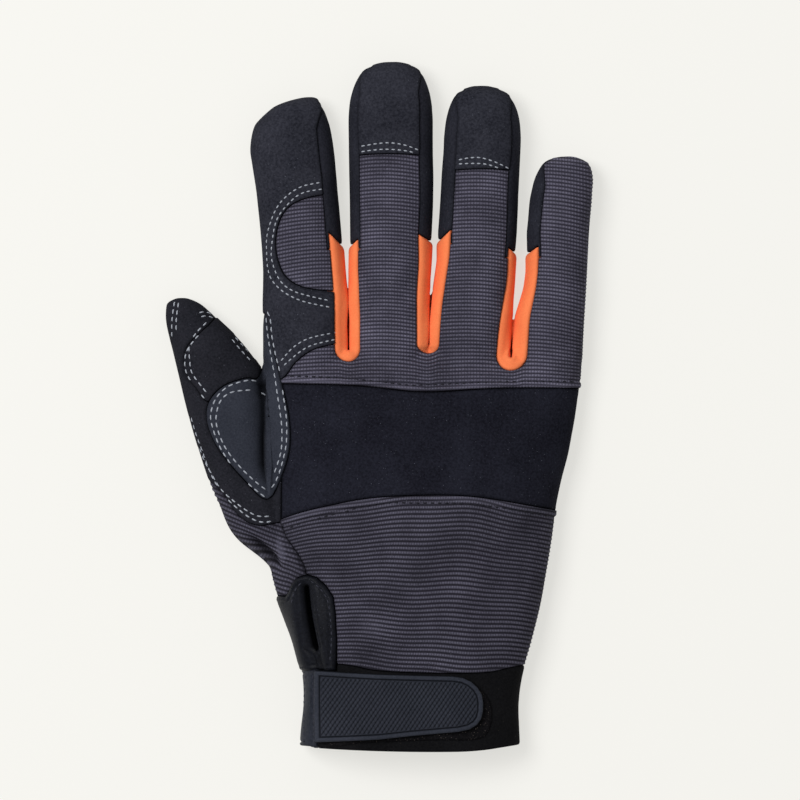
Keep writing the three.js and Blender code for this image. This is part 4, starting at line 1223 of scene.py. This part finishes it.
fromRim = tabPanel.field - tab["rim"]
rim = 1 / (1 + np.exp((fromRim - tab["rimEdge"][0]) / tab["rimEdge"][1]))
furrow = bell(fromRim, *tab["groovePlace"])
turn = math.radians(tab["turn"])
x, y = tabPanel.flat().T * np.array([[math.sin(turn)], [math.cos(turn)]])
hatch = grooveAlong(x - y, tab["mainGroove"]) + grooveAlong(x + y, tab["crossGroove"])
hatched = np.clip((fromRim - tab["hatchPlace"][0]) / tab["hatchPlace"][1], 0, 1)
tabPanel.lift = (tab["lift"] - tab["edgeDrop"] * (1 - roundedEdge(tabPanel, tab["round"])) + tab["rimLift"] * rim
                 - tab["groove"] * furrow + hatch * hatched)
objects["strap_tab"] = ridesAs(
    finished(tabPanel, tab["wall"]), ["strap_tab"], finishes["tabRubber"])

loopSurface = gridOver(loopOutline, loopField["step"])
loopPanel = Panel("loop_patch", insideOf(loopSurface[0][:, :2], loopOutline), [0.3, 0.8], loopSurface)
fuzzSource = np.random.default_rng(7)
loopPanel.base[:] = loopPanel.floor = loopField["lift"]
fullness = loopField["edgeShare"] + (1 - loopField["edgeShare"]) * roundedEdge(loopPanel, loopField["round"])
loopPanel.lift = loopField["lift"] * fullness
loopPanel.lift += loopField["fuzz"] * fuzzSource.random(len(loopPanel.verts))
objects["loop_patch"] = ridesAs(
    finished(loopPanel, loopField["wall"]), ["loop_patch"], finishes["loopField"])
print("closing tab made")

# Stitches: short rounded threads laid along rows, each sunk a little where it enters the cloth
dressed = joined(surfaceParts)
dressedTree = BVHTree.FromPolygons(dressed[0].tolist(), dressed[1].tolist())
print("surface to sew on:", len(dressed[1]), "triangles")
threadShape = np.array([  # along a stitch, fullness, rise
    (0, 0.2, -0.55), (0.08, 0.62, -0.2), (0.25, 0.95, 0.25), (0.5, 1, 0.4), (0.75, 0.95, 0.25),
    (0.92, 0.62, -0.2), (1, 0.2, -0.55)])
threadSides = 8
sewing = {"start": 0.2, "steepest": 2.5, "flatness": 0.8}


def alongRow(line, pitch, length):
    steps = np.linalg.norm(np.diff(line, axis=0), axis=1)
    reach = np.concatenate([[0], np.cumsum(steps)])
    starts = np.arange(sewing["start"], reach[-1] - length, pitch)
    return [np.column_stack([np.interp(at, reach, line[:, k]) for k in (0, 1)])
            for at in (starts, starts + length)]


def stitchEnds(lines, pitch, length):
    # where each stitch lies on the cloth at its start, middle and end, and the cloth's normal
    ends = []
    for points in lines:
        for start, stop in zip(*alongRow(curveThrough(fromLayout(points)), pitch, length)):
            places = (start, (start + stop) / 2, stop)
            hits = [dressedTree.ray_cast((*place, skyHeight), (0, 0, -1)) for place in places]
            if all(hit[0] for hit in hits) and abs(hits[0][0].z - hits[2][0].z) < sewing["steepest"]:
                ends.append([*hits[0][0], *hits[1][0], *hits[2][0], *hits[1][1]])
    ends = np.array(ends)
    return ends[:, 0:3], ends[:, 3:6], ends[:, 6:9], ends[:, 9:12]


def sewn(name, slot, thread, pitch, length, width):
    first, middle, last, normal = stitchEnds(stitchLines[name], pitch, length)
    normal = np.where(normal[:, 2:] < 0, -normal, normal)
    axis = last - first
    axis /= np.linalg.norm(axis, axis=1, keepdims=True)
    side = np.cross(axis, normal)
    side /= np.maximum(np.linalg.norm(side, axis=1, keepdims=True), 1e-9)
    up = np.cross(side, axis)
    turns = np.linspace(0, 2 * math.pi, threadSides, endpoint=False)
    radius = width / 2
    rings = []
    for spot, share, lift in threadShape:
        straight = first * (1 - spot) + last * spot
        sag = (middle - (first + last) / 2) * (1 - (2 * spot - 1) ** 2)
        centre = straight + sag + up * radius * lift
        ring = [centre + (side * math.cos(turn) + up * math.sin(turn) * sewing["flatness"]) * radius * share
                for turn in turns]
        rings.append(np.stack(ring, axis=1))
    verts = np.stack(rings, axis=1).reshape(-1, 3)
    k, j = np.meshgrid(np.arange(len(rings) - 1) * threadSides, np.arange(threadSides), indexing="ij")
    after = (j + 1) % threadSides
    quads = np.stack([k + j, k + after, k + threadSides + after, k + threadSides + j], -1).reshape(-1, 4)
    tris = np.vstack([quads[:, [0, 1, 2]], quads[:, [0, 2, 3]]])
    starts = np.arange(len(first))[:, None, None] * len(rings) * threadSides
    print(name, len(first), "stitches")
    return ridesAs(makeObject(name, verts, (tris[None] + starts).reshape(-1, 3)), (), finishes[thread])


for name, row in stitchRows.items():
    objects[name] = sewn(name, *row)
counts = {name: len(piece.data.polygons) for name, piece in objects.items()}
print("triangles in all:", sum(counts.values()), "largest:", max(counts.values()))

# Camera straight above, as far as a long lens stands, framing 800 layout units
view = {"distance": 6.0, "silhouetteHeight": 0.006, "unit": 0.0003628, "units": 800,
        "middle": (0.00762, 0.00236), "sensor": 36.0}
lens = bpy.data.cameras.new("camera")
lens.sensor_width = view["sensor"]
lens.lens = view["sensor"] * view["distance"] / (view["units"] * view["unit"])
lens.clip_start, lens.clip_end = 0.05, 20
cameraObject = bpy.data.objects.new("camera", lens)
cameraObject.location = (*view["middle"], view["silhouetteHeight"] + view["distance"])
bpy.context.scene.collection.objects.link(cameraObject)
bpy.context.scene.camera = cameraObject

studio = {"floorTone": (247, 246, 241), "floorShare": 0.3, "floorGlow": 0.7, "floorHalf": 4,
          "floorHeight": -0.0002, "skyStrength": 0.38, "lampPower": 42.0, "lampSize": 1.1,
          "lampPlace": (-1.05, 0.55, 2.1)}
floorMesh = bpy.data.meshes.new("floor")
floorCorners = [(x * studio["floorHalf"], y * studio["floorHalf"], studio["floorHeight"])
                for x, y in ((-1, -1), (1, -1), (1, 1), (-1, 1))]
floorMesh.from_pydata(floorCorners, [], [(0, 1, 2, 3)])
floor = bpy.data.objects.new("floor", floorMesh)
bpy.context.scene.collection.objects.link(floor)
floorPaint, _, floorShader, _ = startMaterial("floorPaper", 0.9, 0.0)
floorTone = linear(*studio["floorTone"])
floorShader.inputs["Base Color"].default_value = tuple(v * studio["floorShare"] for v in floorTone[:3]) + (1.0,)
floorShader.inputs["Emission Color"].default_value = floorTone
floorShader.inputs["Emission Strength"].default_value = studio["floorGlow"]
floorMesh.materials.append(floorPaint)

world = bpy.data.worlds.new("studio")
world.use_nodes = True
world.node_tree.nodes["Background"].inputs[0].default_value = (1, 0.995, 0.985, 1)
world.node_tree.nodes["Background"].inputs[1].default_value = studio["skyStrength"]
bpy.context.scene.world = world
lampData = bpy.data.lights.new("softLamp", "AREA")
lampData.energy, lampData.size = studio["lampPower"], studio["lampSize"]
lamp = bpy.data.objects.new("softLamp", lampData)
lamp.location = studio["lampPlace"]
lamp.rotation_euler = Vector(studio["lampPlace"]).to_track_quat("Z", "Y").to_euler()
bpy.context.scene.collection.objects.link(lamp)
bpy.context.scene.view_settings.view_transform = "Standard"
bpy.context.scene.view_settings.look = "None"
print("camera and lights made")
